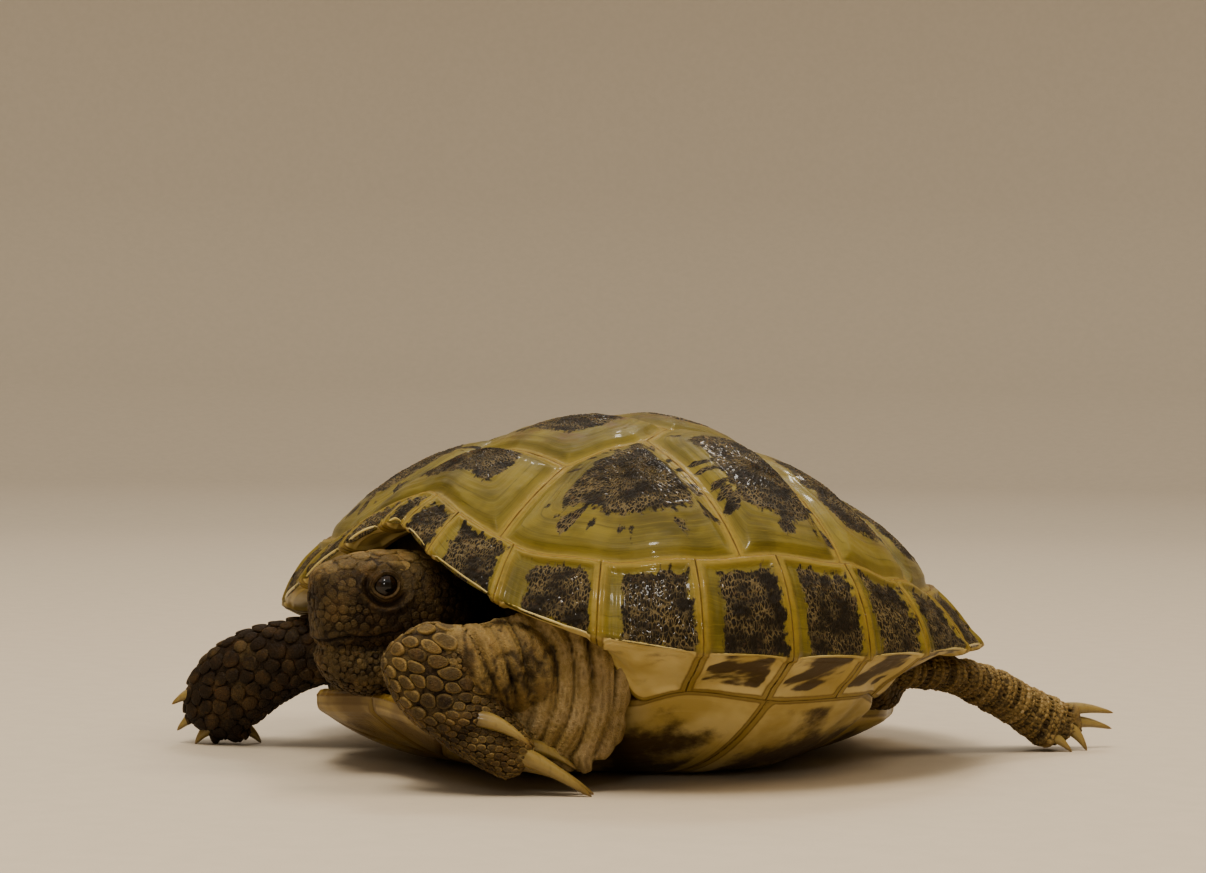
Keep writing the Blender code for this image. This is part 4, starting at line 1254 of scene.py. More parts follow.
def shape_eyes(place):
    """Opens the lids over the eyeballs; returns new places and the painted shade in the lids' folds
    and along their edges.
    """
    crease_shade = np.zeros(len(place))
    moved = place.copy()
    for _, sign in SIDES:
        centre, out, ahead, up = eye_frame(sign)
        gap = place - centre
        x, y, h = gap @ ahead, gap @ up, gap @ out
        front = h > -0.4
        opening = lid_opening(x, y)
        d = np.hypot(x - 0.25 * smooth(0.5, -2.0, x), y * 1.12)
        way = unit(gap)
        ball = EYE_RADIUS + LID + 0.06 * bell(opening, 1.12, 0.12)
        ball = ball + 0.09 * bell(opening, 1.50, 0.14)
        ball = np.where(opening < 1.02, EYE_RADIUS - 0.55 * smooth(1.04, 0.92, opening), ball)
        on_ball = centre + way * ball[:, None]
        share = smooth(2.9, 1.5, d) * front
        below = smooth(0.5, -0.6, y * 0.8 + x * 0.35)
        fold_line = bell(d, 2.45, 0.24) * (0.12 + 0.88 * below)
        ridge = bell(d, 3.15, 0.42) * (0.3 + 0.7 * below)
        brow = bell(y, 2.3, 0.55) * smooth(2.9, 1.2, np.abs(x + 0.2))
        lift = -0.30 * fold_line + 0.26 * ridge + 0.34 * brow
        new = place * (1 - share[:, None]) + on_ball * share[:, None]
        new = new + out * (lift * front)[:, None]
        moved = np.where((front & (d < 4.6))[:, None], new, moved)
        # painted shade along the edge of the lids
        lash = 0.55 * bell(opening, 1.32, 0.07) * (d < 3) * (0.25 + 0.75 * below)
        crease_shade = np.maximum(crease_shade, front * np.maximum(fold_line, lash))
    return moved, crease_shade


def mouth_line(f):
    """Height of the mouth: it hooks down in front and turns up behind."""
    return MOUTH_UP + 0.5 * smooth(4.0, -0.5, f) - 0.35 * smooth(6.5, 9.0, f)


def shape_beak(place):
    """Mouth line, nostrils and the hard edge of the upper jaw, as heights, and painted shade in the
    mouth line and the nostrils.
    """
    f, s, u = place.T
    gap = u - (mouth_line(f) - 0.25 * bell(f, 4.2, 1.4))
    there = smooth(-1.2, 0.2, f)
    mouth = bell(gap, 0.0, 0.16) * there
    lip = bell(gap, 0.55, 0.35) * there
    jaw = bell(gap, -0.6, 0.35) * there
    nostril = bell(np.abs(s), NOSTRIL[0], 0.27) * bell(u, NOSTRIL[1], 0.22) * (f > 7.4)
    tip = bell(f, 9.2, 1.2) * bell(u, 3.0, 0.9)
    lift = -0.30 * mouth + 0.13 * lip + 0.05 * jaw - 0.42 * nostril + 0.22 * tip
    # the second value is painted shade in the mouth line and the nostrils
    return lift, np.maximum(mouth, nostril)


def head_skin(points, normal):
    """Shields of the crown, grains of the cheeks, beak and lids: new points, and painted shade in
    their grooves, the mouth, the nostrils and the lids' folds.
    """
    place = head_place(points)
    lift, crease_shade = shape_beak(place)
    f, _, u = place.T
    crown = smooth(2.8, 4.4, u)
    near, second = cells(points, 2.3, 5)
    plates = smooth(0.0, 0.16, second - near)
    small, small_second = cells(points, 1.05, 6)
    grains = smooth(0.0, 0.2, small_second - small)
    face = smooth(0.5, 2.5, np.hypot(f - EYE_PLACE[0], u - EYE_PLACE[2]) - 1.0)
    lift += crown * 0.12 * (plates - 1.0)
    lift += (1 - crown) * face * 0.07 * (grains - 1.0)
    lift += 0.16 * noise(points, 2.6, 8, 2) * face * (1 - 0.6 * crown)
    # painted shade in the grooves between the crown's shields and between the cheeks' grains
    dark = crown * (1 - plates) * 0.7 + (1 - crown) * face * (1 - grains) * 0.45
    moved = points + normal * lift[:, None]
    opened, lids = shape_eyes(head_place(moved))
    return head_point(opened), np.maximum(np.maximum(crease_shade, dark), lids)


def pleats(points, sign):
    """Folds that hang from the shell's rim, bulge backwards and gather at the floor:
    how high each point lies, and how dark it is painted in the folds' hollows, painted shade."""
    x, y, z = points.T
    drop = np.clip(19.0 - z, 0.0, 15.0)
    along = x * sign * 0.67 + y * 0.74 - 0.46 * drop + 0.031 * drop ** 2
    along = (along + 6.0) * (1.0 + 0.025 * drop)
    slow = points * (1.0, 1.0, 0.4)
    along = along + 1.5 * noise(slow, 5.0, 31) + 0.45 * noise(slow, 2.0, 33)
    wave = np.abs(np.sin(np.pi * along / PLEAT)) ** 0.62
    fade = 0.40 + 0.60 * smooth(-0.45, 0.25, noise(slow, 3.4, 37))
    small = np.abs(np.sin(np.pi * along / SMALL_PLEAT + 2.0 * noise(slow, 2.4, 39))) ** 0.8
    height = 1.60 * wave * fade + 0.24 * small + 0.60 * (1 - fade)
    # the second value is painted shade, darkest in the troughs of the pleats
    return height, (1 - smooth(0.05, 0.62, wave)) * fade + 0.30 * (1 - smooth(0.0, 0.6, small))


def wrinkles(tube, points, size, seed):
    """Noise stretched round a limb, so that it wraps it in fine rings."""
    _, along, angle, _ = tube.locate(points)
    around = np.stack((along / size, 1.3 * np.cos(angle), 1.3 * np.sin(angle)), -1)
    return noise(around + seed, 1.0, seed, 3)


def rings_round(tube, points, spacing, seed):
    """Folds round a limb, each third one deeper; 0 on their crests, 1 in the creases."""
    _, along, angle, _ = tube.locate(points)
    around = np.stack((along / 4.0, 1.2 * np.cos(angle), 1.2 * np.sin(angle)), -1)
    wave = along + 0.30 * noise(around, 1.0, seed, 2)
    ring = 0.65 * (1.0 - np.abs(np.sin(np.pi * wave / spacing)) ** 0.7)
    ring = ring + 0.70 * (1.0 - np.abs(np.sin(np.pi * wave / (2.6 * spacing))) ** 0.45)
    toes = smooth(tube.length[-1] - 0.8, tube.length[-1] - 0.1, along)
    knuckle = np.clip(1.0 - 7.0 * np.abs(noise(points * (1.5, 1.5, 0.8), 1.6, seed, 2)), 0.0, 1.0)
    return ring * (1 - toes) + 0.7 * knuckle * toes


PLEAT, SMALL_PLEAT = 2.65, 0.78     # how far apart the pleats and their fine folds are
# Limbs with even folds: how far apart and how deep they are
RINGED = {"near_hind": (1.12, 0.50), "far_hind": (1.12, 0.50), "tail": (1.0, 0.25)}
# Wrinkles of each region: size, depth, share of them that runs round the limb
WRINKLES = {"near_upper": (1.5, 0.22, 0.9), "near_forearm": (1.1, 0.16, 0.8),
            "far_arm": (1.6, 0.16, 0.7), "near_hind": (1.0, 0.20, 0.95),
            "far_hind": (1.0, 0.20, 0.95), "tail": (0.9, 0.15, 0.9), "neck": (1.5, 0.30, 0.9),
            "throat": (1.1, 0.20, 0.3), "near_hip": (1.8, 0.30, 0.8), "far_hip": (1.8, 0.30, 0.8),
            "chest": (1.6, 0.35, 0.2)}
WRINKLE_SEED = 40
# How light each region is, 0 to 1; the far side's sleeve, arm, hip and hind leg are set
# darker than the near side's, painted shade of the side turned from the light
TONES = {"near_sleeve": 0.90, "far_sleeve": 0.42, "near_hip": 0.44, "far_hip": 0.40,
         "near_upper": 0.66, "near_forearm": 0.32, "far_arm": 0.12, "near_hind": 0.68,
         "far_hind": 0.62, "tail": 0.30, "neck": 0.34, "throat": 0.46, "chest": 0.40, "head": 0.25,
         "trunk": 0.30}


def sculpt(points, normal, index):
    """Moves the skin's points into folds; returns places, painted shade in the creases, and
    lightness, which that shade lowers.
    """
    moved = points.copy()
    crease_shade = np.zeros(len(points))
    tone = np.array([TONES[name] for name in REGIONS])[index]
    for number, name in enumerate(REGIONS):
        chosen = index == number
        if not chosen.any():
            continue
        p, n = points[chosen], normal[chosen]
        if name == "head":
            moved[chosen], crease_shade[chosen] = head_skin(p, n)
        elif name in WRINKLES:
            size, depth, ringed = WRINKLES[name]
            seed = WRINKLE_SEED + number
            wave = ringed * wrinkles(LIMBS[name], p, size, seed)
            wave = wave + (1 - ringed) * noise(p, size, seed, 2)
            deep = np.clip(1.0 - np.abs(wave) * 2.4, 0.0, 1.0) ** 2
            moved[chosen] = p - n * (depth * deep)[:, None]
            # painted shade in the hollows of the wrinkles
            crease_shade[chosen] = deep * 0.8
            if name in RINGED:
                spacing, depth = RINGED[name]
                ring = rings_round(LIMBS[name], p, spacing, seed)
                moved[chosen] -= n * (depth * ring)[:, None]
                # painted shade in the folds round the limb and the creases of the toes
                crease_shade[chosen] = np.maximum(0.4 * crease_shade[chosen], ring)
    x, y = points[:, :2].T
    for name, sign in (("near", 1.0), ("far", -1.0)):
        front_side = (index == REGIONS.index("trunk")) & (x * sign > 8) & (y < -10)
        sleeve = (index == REGIONS.index(name + "_sleeve")) | front_side
        upper = (index == REGIONS.index("near_upper")) & (sign > 0)
        share = sleeve + np.where(upper, smooth(-40.5, -36.0, y), 0.0)
        wave, dark = pleats(points, sign)
        outer = np.clip(normal[:, 0] * sign * 1.5 + 0.3, 0.0, 1.0)
        moved = moved + normal * (share * outer * (wave - 0.75))[:, None]
        # painted shade in the hollows of the pleats
        crease_shade = np.maximum(crease_shade, dark * share * outer)
    broad = noise(points, 3.2, 51, 2)
    ringed = np.isin(index, [REGIONS.index(name) for name in RINGED])
    # painted shade: the tone is darkened in the creases
    tone = tone + 0.13 * broad - np.where(ringed, 0.46, 0.32) * crease_shade
    return moved, crease_shade, np.clip(tone, 0.0, 1.0)


def head_tone(points):
    """What the head adds to its region's tone: the crown is lighter than the cheeks and the
    back of the head darker, painted light on top and painted shade below and towards the
    shell; the lids and the nose's corner are pale."""
    place = head_place(points)
    f, _, u = place.T
    # painted light and shade: lighter on the crown, darker low on the face and at the back of the
    # head
    tone = 0.26 * smooth(2.5, 4.6, u) + 0.16 * bell(f, 8.8, 1.2) * bell(u, 3.2, 1.0)
    tone = tone - 0.14 * smooth(1.0, -2.0, u) * smooth(8.0, 4.0, f) - 0.16 * smooth(-3.0, -6.0, f)
    for _, sign in SIDES:
        centre, out, ahead, up = eye_frame(sign)
        gap = place - centre
        x, y = gap @ ahead, gap @ up
        opening = lid_opening(x, y)
        side = ((gap @ out) > -0.5) * (0.3 + 0.7 * smooth(0.6, -0.6, y + 0.5 * x))
        tone = tone + side * (0.04 * bell(opening, 1.13, 0.10) + 0.12 * bell(opening, 1.6, 0.2))
    return tone


SKIN_DARK = (0.018, 0.010, 0.004)
SKIN_OLIVE = (0.074, 0.050, 0.020)
SKIN_LIGHT = (0.205, 0.142, 0.056)
SKIN_PALE = (0.35, 0.270, 0.145)
SKIN_RUST = (0.110, 0.058, 0.020)
# painted shade: the colour the skin takes in its folds, grooves and round the roots of scales
SKIN_CREASE_SHADE = (0.012, 0.006, 0.002)


def skin_material():
    """Skin and its scales.  Fields: tone is how light, edge grows to a scale's rim and
    the crease field is painted shade, darkest in folds, grooves and round the roots of
    scales; grain is a place in millimetres."""
    s = Shader("tortoise_skin")
    grain, tone, edge = s.field("grain", True), s.field("tone"), s.field("edge")
    fine = s.noise(grain, 0.45, 4.0, 0.6)
    broad = s.noise(grain, 2.4, 3.0)
    speck = s.noise(grain, 0.16, 2.0, 0.5)
    light = s.add(tone, s.add(s.times(s.add(fine, -0.5), 0.42), s.times(s.add(broad, -0.5), 0.42)))
    light = s.add(light, s.times(s.step(edge, 0.55, 0.95), 0.26))
    colour = s.tint(SKIN_DARK, SKIN_OLIVE, light, 0.05, 0.38)
    colour = s.tint(colour, SKIN_LIGHT, light, 0.36, 0.72)
    colour = s.tint(colour, SKIN_PALE, light, 0.70, 1.05)
    colour = s.tint(colour, SKIN_RUST, broad, 0.45, 0.7, 0.32)
    # painted shade: darkens the skin where the crease field marks folds, grooves and scale roots
    colour = s.mix(s.times(s.field("crease_shade"), 0.75), colour, SKIN_CREASE_SHADE)
    rough = s.add(0.42, s.times(fine, 0.25))
    near = s.cells(grain, 0.34)
    normal = s.bump(s.step(near, 0.0, 0.25), 0.035)
    normal = s.bump(fine, 0.05, normal)
    normal = s.bump(speck, 0.012, normal)
    return s.finish(colour, rough, normal, Specular_IOR_Level=0.28, Subsurface_Weight=0.10,
                    Subsurface_Scale=0.0008, Subsurface_Radius=(1.0, 0.5, 0.25))


FLESH_NODES = ("trunk", "neck", "head", "tail", "foreleg_left", "foreleg_right", "hindleg_left",
               "hindleg_right")
# What is known of the skin: its points before they are folded, with their normals, the
# number of their region, length and angle on its limb, the triangles and the tones
Skin = namedtuple("Skin", "points normal region along angle corners tone")


def build_skin(material):
    """One skin over all the flesh.  Gives what is known of its smooth points, and the
    skin as a ground for scales, with its folds (True) and without them (False)."""
    mesh = rough_flesh()
    mesh = thin_hidden(mesh, hidden_skin(places_of(mesh)))
    f, s, u = head_place(places_of(mesh)).T
    divide(mesh, (f > HEAD_BACK) & (f < 11) & (np.abs(s) < HEAD_WIDE) & (u > HEAD_LOW))
    divide(mesh, eye_distance(head_place(places_of(mesh))) < EYE_FINE)
    points, normal = places_of(mesh), read(mesh.vertex_normals, "vector", 3)
    index, along, angle = region_of(points)
    mesh.calc_loop_triangles()
    corners = read(mesh.loop_triangles, "vertices", 3, int)
    moved, crease_shade, tone = sculpt(points, normal, index)
    on_head = index == REGIONS.index("head")
    tone[on_head] = np.clip(tone[on_head] + head_tone(points[on_head]), 0.0, 1.0)
    moved[:, 2] = np.maximum(moved[:, 2], SKIN_LOWEST)
    mesh.vertices.foreach_set("co", ((moved - ORIGIN) * MM).ravel())
    mesh.update()
    fields = {"tone": tone, "crease_shade": crease_shade, "edge": crease_shade * 0.0, "grain": moved}
    dress("skin", mesh, material, fields, FLESH_NODES)
    ground = {folded: BVHTree.FromPolygons(places.tolist(), corners.tolist())
              for folded, places in ((True, moved), (False, points))}
    return Skin(points, normal, index, along, angle, corners, tone), ground


# ---------------------------------------------------------------- eyes and claws

EYE_BLACK = (0.004, 0.003, 0.002)
EYE_BROWN = (0.030, 0.014, 0.005)
EYE_RINGS, EYE_TURNS = 40, 56       # rings of points on an eye and points in each


def eye_material():
    """Wet black eye with a brown iris; the field ring is the distance from its middle."""
    s = Shader("eye_gloss")
    ring = s.field("ring")
    fleck = s.noise(s.field("grain", True), 0.18, 3.0)
    iris = s.tint(EYE_BLACK, EYE_BROWN, fleck, 0.35, 0.7)
    colour = s.tint(EYE_BLACK, iris, ring, 0.62, 0.72)
    colour = s.tint(colour, EYE_BLACK, ring, 1.18, 1.30)
    return s.finish(colour, s.add(0.16, s.times(fleck, 0.05)), s.bump(fleck, 0.004),
                    Coat_Weight=0.8, Coat_Roughness=0.02, Specular_IOR_Level=0.2)


def build_eyes(material):
    for side, sign in SIDES:
        centre, out, ahead, up = eye_frame(sign)
        a = np.linspace(0.03, np.pi - 0.03, EYE_RINGS)[:, None]
        b = np.linspace(0.0, 2 * np.pi, EYE_TURNS, endpoint=False)[None, :]
        x, y = np.sin(a) * np.cos(b) * sign, np.sin(a) * np.sin(b)
        h = np.broadcast_to(np.cos(a), x.shape)
        radius = EYE_RADIUS - 0.02 + 0.10 * smooth(0.78, 0.98, h)
        ball = (x[..., None] * ahead + y[..., None] * up + h[..., None] * out) * radius[..., None]
        points = head_point(centre + ball)
        ring = np.broadcast_to(a * EYE_RADIUS, x.shape)
        faces = grid_faces(EYE_RINGS, EYE_TURNS) + fan_faces(0, EYE_TURNS, x.size, flip=True)
        faces += fan_faces(x.size - EYE_TURNS, EYE_TURNS, x.size + 1)
        tips = head_point(centre + np.outer((EYE_RADIUS + 0.08, -EYE_RADIUS + 0.02), out))
        points = np.vstack((points.reshape(-1, 3), tips))
        fields = {"ring": np.append(ring, (0.0, np.pi * EYE_RADIUS)), "grain": points}
        make_object("eyeball_" + side, points, faces, material, fields, ("eye_" + side,))


CLAW_TURNS = 22             # points round a claw
CLAW_ROOT = (0.085, 0.055, 0.018)
CLAW_HORN = (0.220, 0.160, 0.056)
CLAW_TIP = (0.160, 0.105, 0.034)


def claw_material():
    """Horn streaked along the claw; the field ring grows from its root to its tip."""
    s = Shader("claw_horn")
    ring, grain = s.field("ring"), s.field("grain", True)
    streak = s.noise(s.stretch(grain, (1.0, 1.0, 0.35)), 0.5, 3.0)
    colour = s.tint(CLAW_ROOT, CLAW_HORN, s.add(ring, s.times(streak, 0.3)), 0.08, 0.50)
    colour = s.tint(colour, CLAW_TIP, ring, 0.7, 1.0)
    colour = s.tint(colour, CLAW_ROOT, streak, 0.5, 0.75, 0.35)
    return s.finish(colour, s.add(0.26, s.times(streak, 0.14)), s.bump(streak, 0.03),
                    Coat_Weight=0.25, Coat_Roughness=0.15, Subsurface_Weight=0.2,
                    Subsurface_Scale=0.001, Subsurface_Radius=(1.0, 0.6, 0.25))


def claw_shape(root, tip, radius):
    """A claw that bends down at its tip, deeper than wide, with a blunt point."""
    root, tip = np.array(root), np.array(tip)
    along = unit(tip - root)
    across = unit(np.cross(along, (0.0, 0.0, 1.0)))
    up = np.cross(across, along)
    share = np.linspace(-0.3, 1.0, 30)
    size = radius * np.clip(1.02 - 0.86 * np.clip(share, 0, 1) ** 1.35, 0.05, 1.0)
    size = size * np.sqrt(np.clip(1.0 - ((share - 0.88) / 0.125) ** 2 * (share > 0.88), 0.004, 1.0))
    bend = radius * 0.45 * np.sin(np.pi * np.clip(share, 0.0, 1.0) ** 0.85)
    centre = root + (tip - root) * share[:, None] + up * bend[:, None]
    a = np.linspace(0, 2 * np.pi, CLAW_TURNS, endpoint=False)
    wide, tall = 0.86 * np.cos(a), np.where(np.sin(a) > 0, 1.05 * np.sin(a), 0.72 * np.sin(a))
    rings = (centre[:, None] + across * (size[:, None] * wide)[..., None]
             + up * (size[:, None] * tall)[..., None])
    return np.maximum(rings, FLOOR), np.repeat(share[:, None], CLAW_TURNS, 1)


def build_claws(material):
    for foot, claws in CLAWS.items():
        points, faces, shares = [], [], []
        for claw in claws:
            rings, share = claw_shape(*claw)
            close(rings, points, faces)
            shares += [share.ravel(), [-0.3], [1.0]]
        points = np.vstack(points)
        make_object("claws_" + foot, points, faces, material,
                    {"ring": np.concatenate(shares), "grain": points})


# ---------------------------------------------------------------- scales

BAKE_PATCH = 0.0015         # half the size of a scale's patch on the map for baking
MAP_EDGE = 0.03             # bare edge of that map
ROW_SPACING = 0.56          # between the rows of scales round a hind leg
ROOT_DENSITY = 26.0         # places tried for a root on each square millimetre
ROOT_DEPTH = 0.25           # how far below the skin a scale ends
ROW_CROWDING = 0.6          # how near scales in rows may come, as a share of their size
ROW_JITTER = 0.9            # how uneven a row is, as a share of the room for one scale
SCALE_REACH = 0.74          # how far a scale reaches where no other is near, of its size
SCALE_FILL = 0.93           # share of its own room that a scale fills
ELBOW_Y = -37.0             # behind it the upper arm is bare
SCALE_SEED = 700
# Rings of points on a scale: how far out and how high; below zero is rooted in the skin
LARGE_RINGS = ((0.35, 0.97), (0.62, 0.86), (0.82, 0.62), (0.94, 0.30), (1.0, -0.35))
SMALL_RINGS = ((0.50, 0.85), (0.88, 0.40), (1.0, -0.35))
LARGE_TURNS, SMALL_TURNS = 16, 9
SMALL_SCALE = 0.95          # regions whose scales are all smaller have fewer points on each

# How the scales of one region lie: the object they are in, a function of their places,
# normals and lengths that gives their size, their height as a share of it, how far they
# tilt, how light their rim and they are, how far they turn off the limb's length, how
# long they are and whether they lie in rows
Scales = namedtuple("Scales", "piece size height tilt rim tone turn long rows",
                    defaults=(0.0, 0.0, 0.0, 0.0, 1.0, False))


def steady(size):
    """The same size everywhere."""
    return lambda root, normal, along: np.full(len(root), size)


def near_forearm_size(root, normal, along):
    """Large oval scales on the outer face, small ones behind and by the claws."""
    front = normal @ unit(np.array([0.75, -0.62, 0.35]))
    return 0.62 + 0.80 * smooth(0.1, 0.8, front) * smooth(12.5, 7.0, along)


def far_arm_size(root, normal, along):
    """Large scales on the front face of the wrist."""
    front = normal @ unit(np.array([-0.2, -0.9, 0.3]))
    return 0.75 + 0.85 * smooth(-0.6, 0.2, front) * smooth(9.0, 17.0, along)


def ringed_places(name, ground):
    """Places in rows round a limb, on its skin, with normal, length and angle there."""
    tube = LIMBS[name]
    rng = np.random.default_rng(len(name))
    spots = []
    for row, along in enumerate(np.arange(0.5, tube.length[-1] - 0.2, ROW_SPACING)):
        centre, across, up, half = (np.array([np.interp(along, tube.length, part[:, k])
                                              for k in range(part.shape[1])])
                                    for part in (tube.centre, tube.across, tube.up, tube.half))
        count = int(2 * np.pi * half.mean() / (1.08 * ROW_SPACING))
        for k in range(count):
            a = 2 * np.pi * (k + 0.5 * (row % 2) + ROW_JITTER * (rng.random() - 0.5)) / count
            out = across * half[0] * np.cos(a) + up * half[1] * np.sin(a)
            place, facing, _, gap = ground.find_nearest(centre + out)
            if gap < 0.6:
                spots.append((place, facing, along, (a + np.pi) % (2 * np.pi) - np.pi))
    return tuple(np.array(column) for column in zip(*spots))


def head_size(root, normal, along):
    """Large shields on the crown, small scales on the temples, cheeks and lids."""
    f, _, u = head_place(root).T
    crown = smooth(3.3, 4.6, u) * smooth(-4.5, -1.5, f)
    snout = smooth(4.6, 7.0, f) * smooth(-0.5, 2.0, u)
    size = 0.80 + 1.35 * crown + 0.25 * snout
    size = size - 0.15 * smooth(-2.5, -5.0, u)
    eye = np.hypot(f - EYE_PLACE[0], u - EYE_PLACE[2])
    return size - 0.22 * smooth(4.2, 3.0, eye) * (1 - crown)


def head_bare(root):
    """The lids and the hard edges of the beak carry no scales."""
    place = head_place(root)
    f, s, u = place.T
    beak = (np.abs(u - mouth_line(f)) < 0.45 + 0.75 * smooth(2.0, 7.0, f)) & (f > -1.2)
    nose = (np.abs(np.abs(s) - NOSTRIL[0]) < 0.5) & (np.abs(u - NOSTRIL[1]) < 0.5) & (f > 7)
    return (eye_distance(place) < 3.1) | beak | nose


SCALES = {
    "head": Scales("head", head_size, 0.085, rim=0.40, tone=0.08),
    "neck": Scales("neck", steady(0.72), 0.13, rim=0.2),
    "throat": Scales("neck", steady(0.66), 0.13, rim=0.2),
    "near_upper": Scales("near_foreleg", steady(0.55), 0.07, rim=0.1),
    "near_forearm": Scales("near_foreleg", near_forearm_size, 0.17, tilt=0.22, rim=1.0, tone=0.06,
                           turn=0.8, long=1.7),
    "far_arm": Scales("far_foreleg", far_arm_size, 0.13, tilt=0.22, rim=0.7, long=1.15),
    "near_hind": Scales("near_hindleg", steady(0.52), 0.13, rim=0.2, tone=0.14, rows=True),
    "far_hind": Scales("far_hindleg", steady(0.52), 0.14, rim=0.3, tone=0.12, rows=True),
    "near_hip": Scales("near_hindleg", steady(0.8), 0.14, rim=0.2),
    "far_hip": Scales("far_hindleg", steady(0.8), 0.14, rim=0.2),
    "tail": Scales("tail", steady(0.60), 0.20, tilt=0.15, rim=0.3, tone=0.05, rows=True),
}


def random_places(skin, corners, rng):
    """Random places on some of the skin's triangles, with normal, length and angle there."""
    a, b, c = (skin.points[corners[:, k]] for k in range(3))
    area = 0.5 * np.linalg.norm(np.cross(b - a, c - a), axis=1)
    count = int(area.sum() * ROOT_DENSITY) + 1
    pick = rng.choice(len(corners), count, p=area / area.sum())
    u, v = rng.random((2, count))
    over = u + v > 1
    u[over], v[over] = 1 - u[over], 1 - v[over]
    share = np.stack((1 - u - v, u, v), -1)[..., None]
    place = np.sum(skin.points[corners[pick]] * share, 1)
    lean = unit(np.sum(skin.normal[corners[pick]] * share, 1))
    return place, lean, skin.along[corners[pick, 0]], skin.angle[corners[pick, 0]]


def thin_out(places, size):
    """Keeps places so that no two are nearer than their size."""
    cell = float(size.max())
    kept, grid = [], {}
    keys = np.floor(places / cell).astype(int)
    for i in range(len(places)):
        x, y, z = keys[i]
        near = [j for dx in (-1, 0, 1) for dy in (-1, 0, 1) for dz in (-1, 0, 1)
                for j in grid.get((x + dx, y + dy, z + dz), ())]
        if near:
            gap = np.sum((places[near] - places[i]) ** 2, 1)
            if np.any(gap < (0.5 * (size[near] + size[i])) ** 2):
                continue
        kept.append(i)
        grid.setdefault((x, y, z), []).append(i)
    return np.array(kept)


def tree_of(points):
    """Tree for finding the nearest of some points."""
    tree = KDTree(len(points))
    for i, point in enumerate(points):
        tree.insert(point, i)
    tree.balance()
    return tree


def cell_outlines(roots, t1, t2, size, turns):
    """Reach of each scale in each direction, cut off half way to its neighbours."""
    tree = tree_of(roots)
    phi = np.arange(turns) * 2 * np.pi / turns
    reach = np.repeat(size[:, None] * SCALE_REACH, turns, 1)
    for i, root in enumerate(roots):
        near = [j for _, j, _ in tree.find_range(root, 2.6 * size[i]) if j != i]
        if not near:
            continue
        gap = roots[near] - root
        x, y = gap @ t1[i], gap @ t2[i]
        distance = np.hypot(x, y) * size[i] / (size[i] + size[near])
        facing = np.cos(phi[:, None] - np.arctan2(y, x)[None])
        limit = np.where(facing > 0.05, distance / np.maximum(facing, 0.05), 99.0).min(1)
        reach[i] = np.minimum(reach[i], limit)
    for _ in range(2):
        reach = (np.roll(reach, 1, 1) + 2 * reach + np.roll(reach, -1, 1)) / 4
    return phi, reach * SCALE_FILL


def choose_roots(name, look, skin, corners, ground, rng):
    """Roots of a region's scales: place, normal, length, angle and size of each."""
    if look.rows:
        spots = ringed_places(name, ground[False])
    else:
        spots = random_places(skin, corners, rng)
    place, lean, length, _ = spots
    size = look.size(place, lean, length) * (0.86 + 0.28 * rng.random(len(place)))
    keep = ~hidden_skin(place)
    if name == "head":
        keep &= ~head_bare(place)
    if name == "near_upper":
        keep &= place[:, 1] < ELBOW_Y
    known = [values[keep] for values in (*spots, size)]
    kept = thin_out(known[0], known[-1] * (ROW_CROWDING if look.rows else 1.0))
    return [values[kept] for values in known]


def growth_ways(name, look, place, lean):
    """Directions along and across each scale, flat on the skin."""
    if name == "head":
        way = -np.broadcast_to(head_axes()[0], place.shape)
    else:
        tube = LIMBS[name]
        row = tube.locate(place)[3]
        way = tube.ahead[row] + look.turn * tube.across[row]
    along = unit(way - lean * np.sum(way * lean, 1)[:, None])
    return along, np.cross(lean, along)


def settle(spots, skin):
    """Nearest places on the skin."""
    return np.array([skin.find_nearest(spot)[0] for spot in spots.tolist()])


def scale_bodies(name, look, place, lean, size, ground, rng):
    """Points of each scale: its top, its rings and its root.  Also gives, for the points
    of any scale, how far out they are, which of them are in the skin and their places
    on the scale's patch; and the points in a ring."""
    t1, t2 = growth_ways(name, look, place, lean)
    small = size.max() < SMALL_SCALE
    turns = SMALL_TURNS if small else LARGE_TURNS
    ring, rise = np.array(SMALL_RINGS if small else LARGE_RINGS).T
    squeeze = 1.0 / look.long
    phi, reach = cell_outlines(place, t1 * squeeze, t2, size, turns)
    out = reach[:, None, :] * ring[None, :, None]
    x, y = out * np.cos(phi) / squeeze, out * np.sin(phi)
    spots = (place[:, None, None] + x[..., None] * t1[:, None, None]
             + y[..., None] * t2[:, None, None])
    based = settle(spots.reshape(-1, 3), ground[look.rows]).reshape(spots.shape)

    tall = look.height * size * (0.85 + 0.3 * rng.random(len(size)))
    wide, up = size[:, None, None], rise[None, :, None]
    tilted = np.where(up > 0, 0.5 + 0.5 * (x / (wide * 0.55)).clip(-1, 1), 0.0)
    height = tall[:, None, None] * up + look.tilt * wide * tilted * 0.6
    height = np.where(up < 0, -0.10 - 0.1 * wide, height)
    body = based + lean[:, None, None] * height[..., None]
    if look.rows:
        top = settle(place, ground[True]) + lean * tall[:, None]
    else:
        top = place + lean * (tall + look.tilt * size * 0.3)[:, None]
    root = place - lean * ROOT_DEPTH
    points = np.concatenate((top[:, None], body.reshape(len(place), -1, 3), root[:, None]), 1)

    edge = np.concatenate(([0.0], np.repeat(ring, turns), [1.0]))
    inside = np.concatenate(([0.0], np.repeat(1.0 * (rise < 0), turns), [1.0]))
    patch = ring[:, None, None] * np.stack((np.cos(phi), np.sin(phi)), -1)
    patch = np.vstack(((0.0, 0.0), patch.reshape(-1, 2), (0.0, 0.0)))
    return points, edge, inside, patch, turns


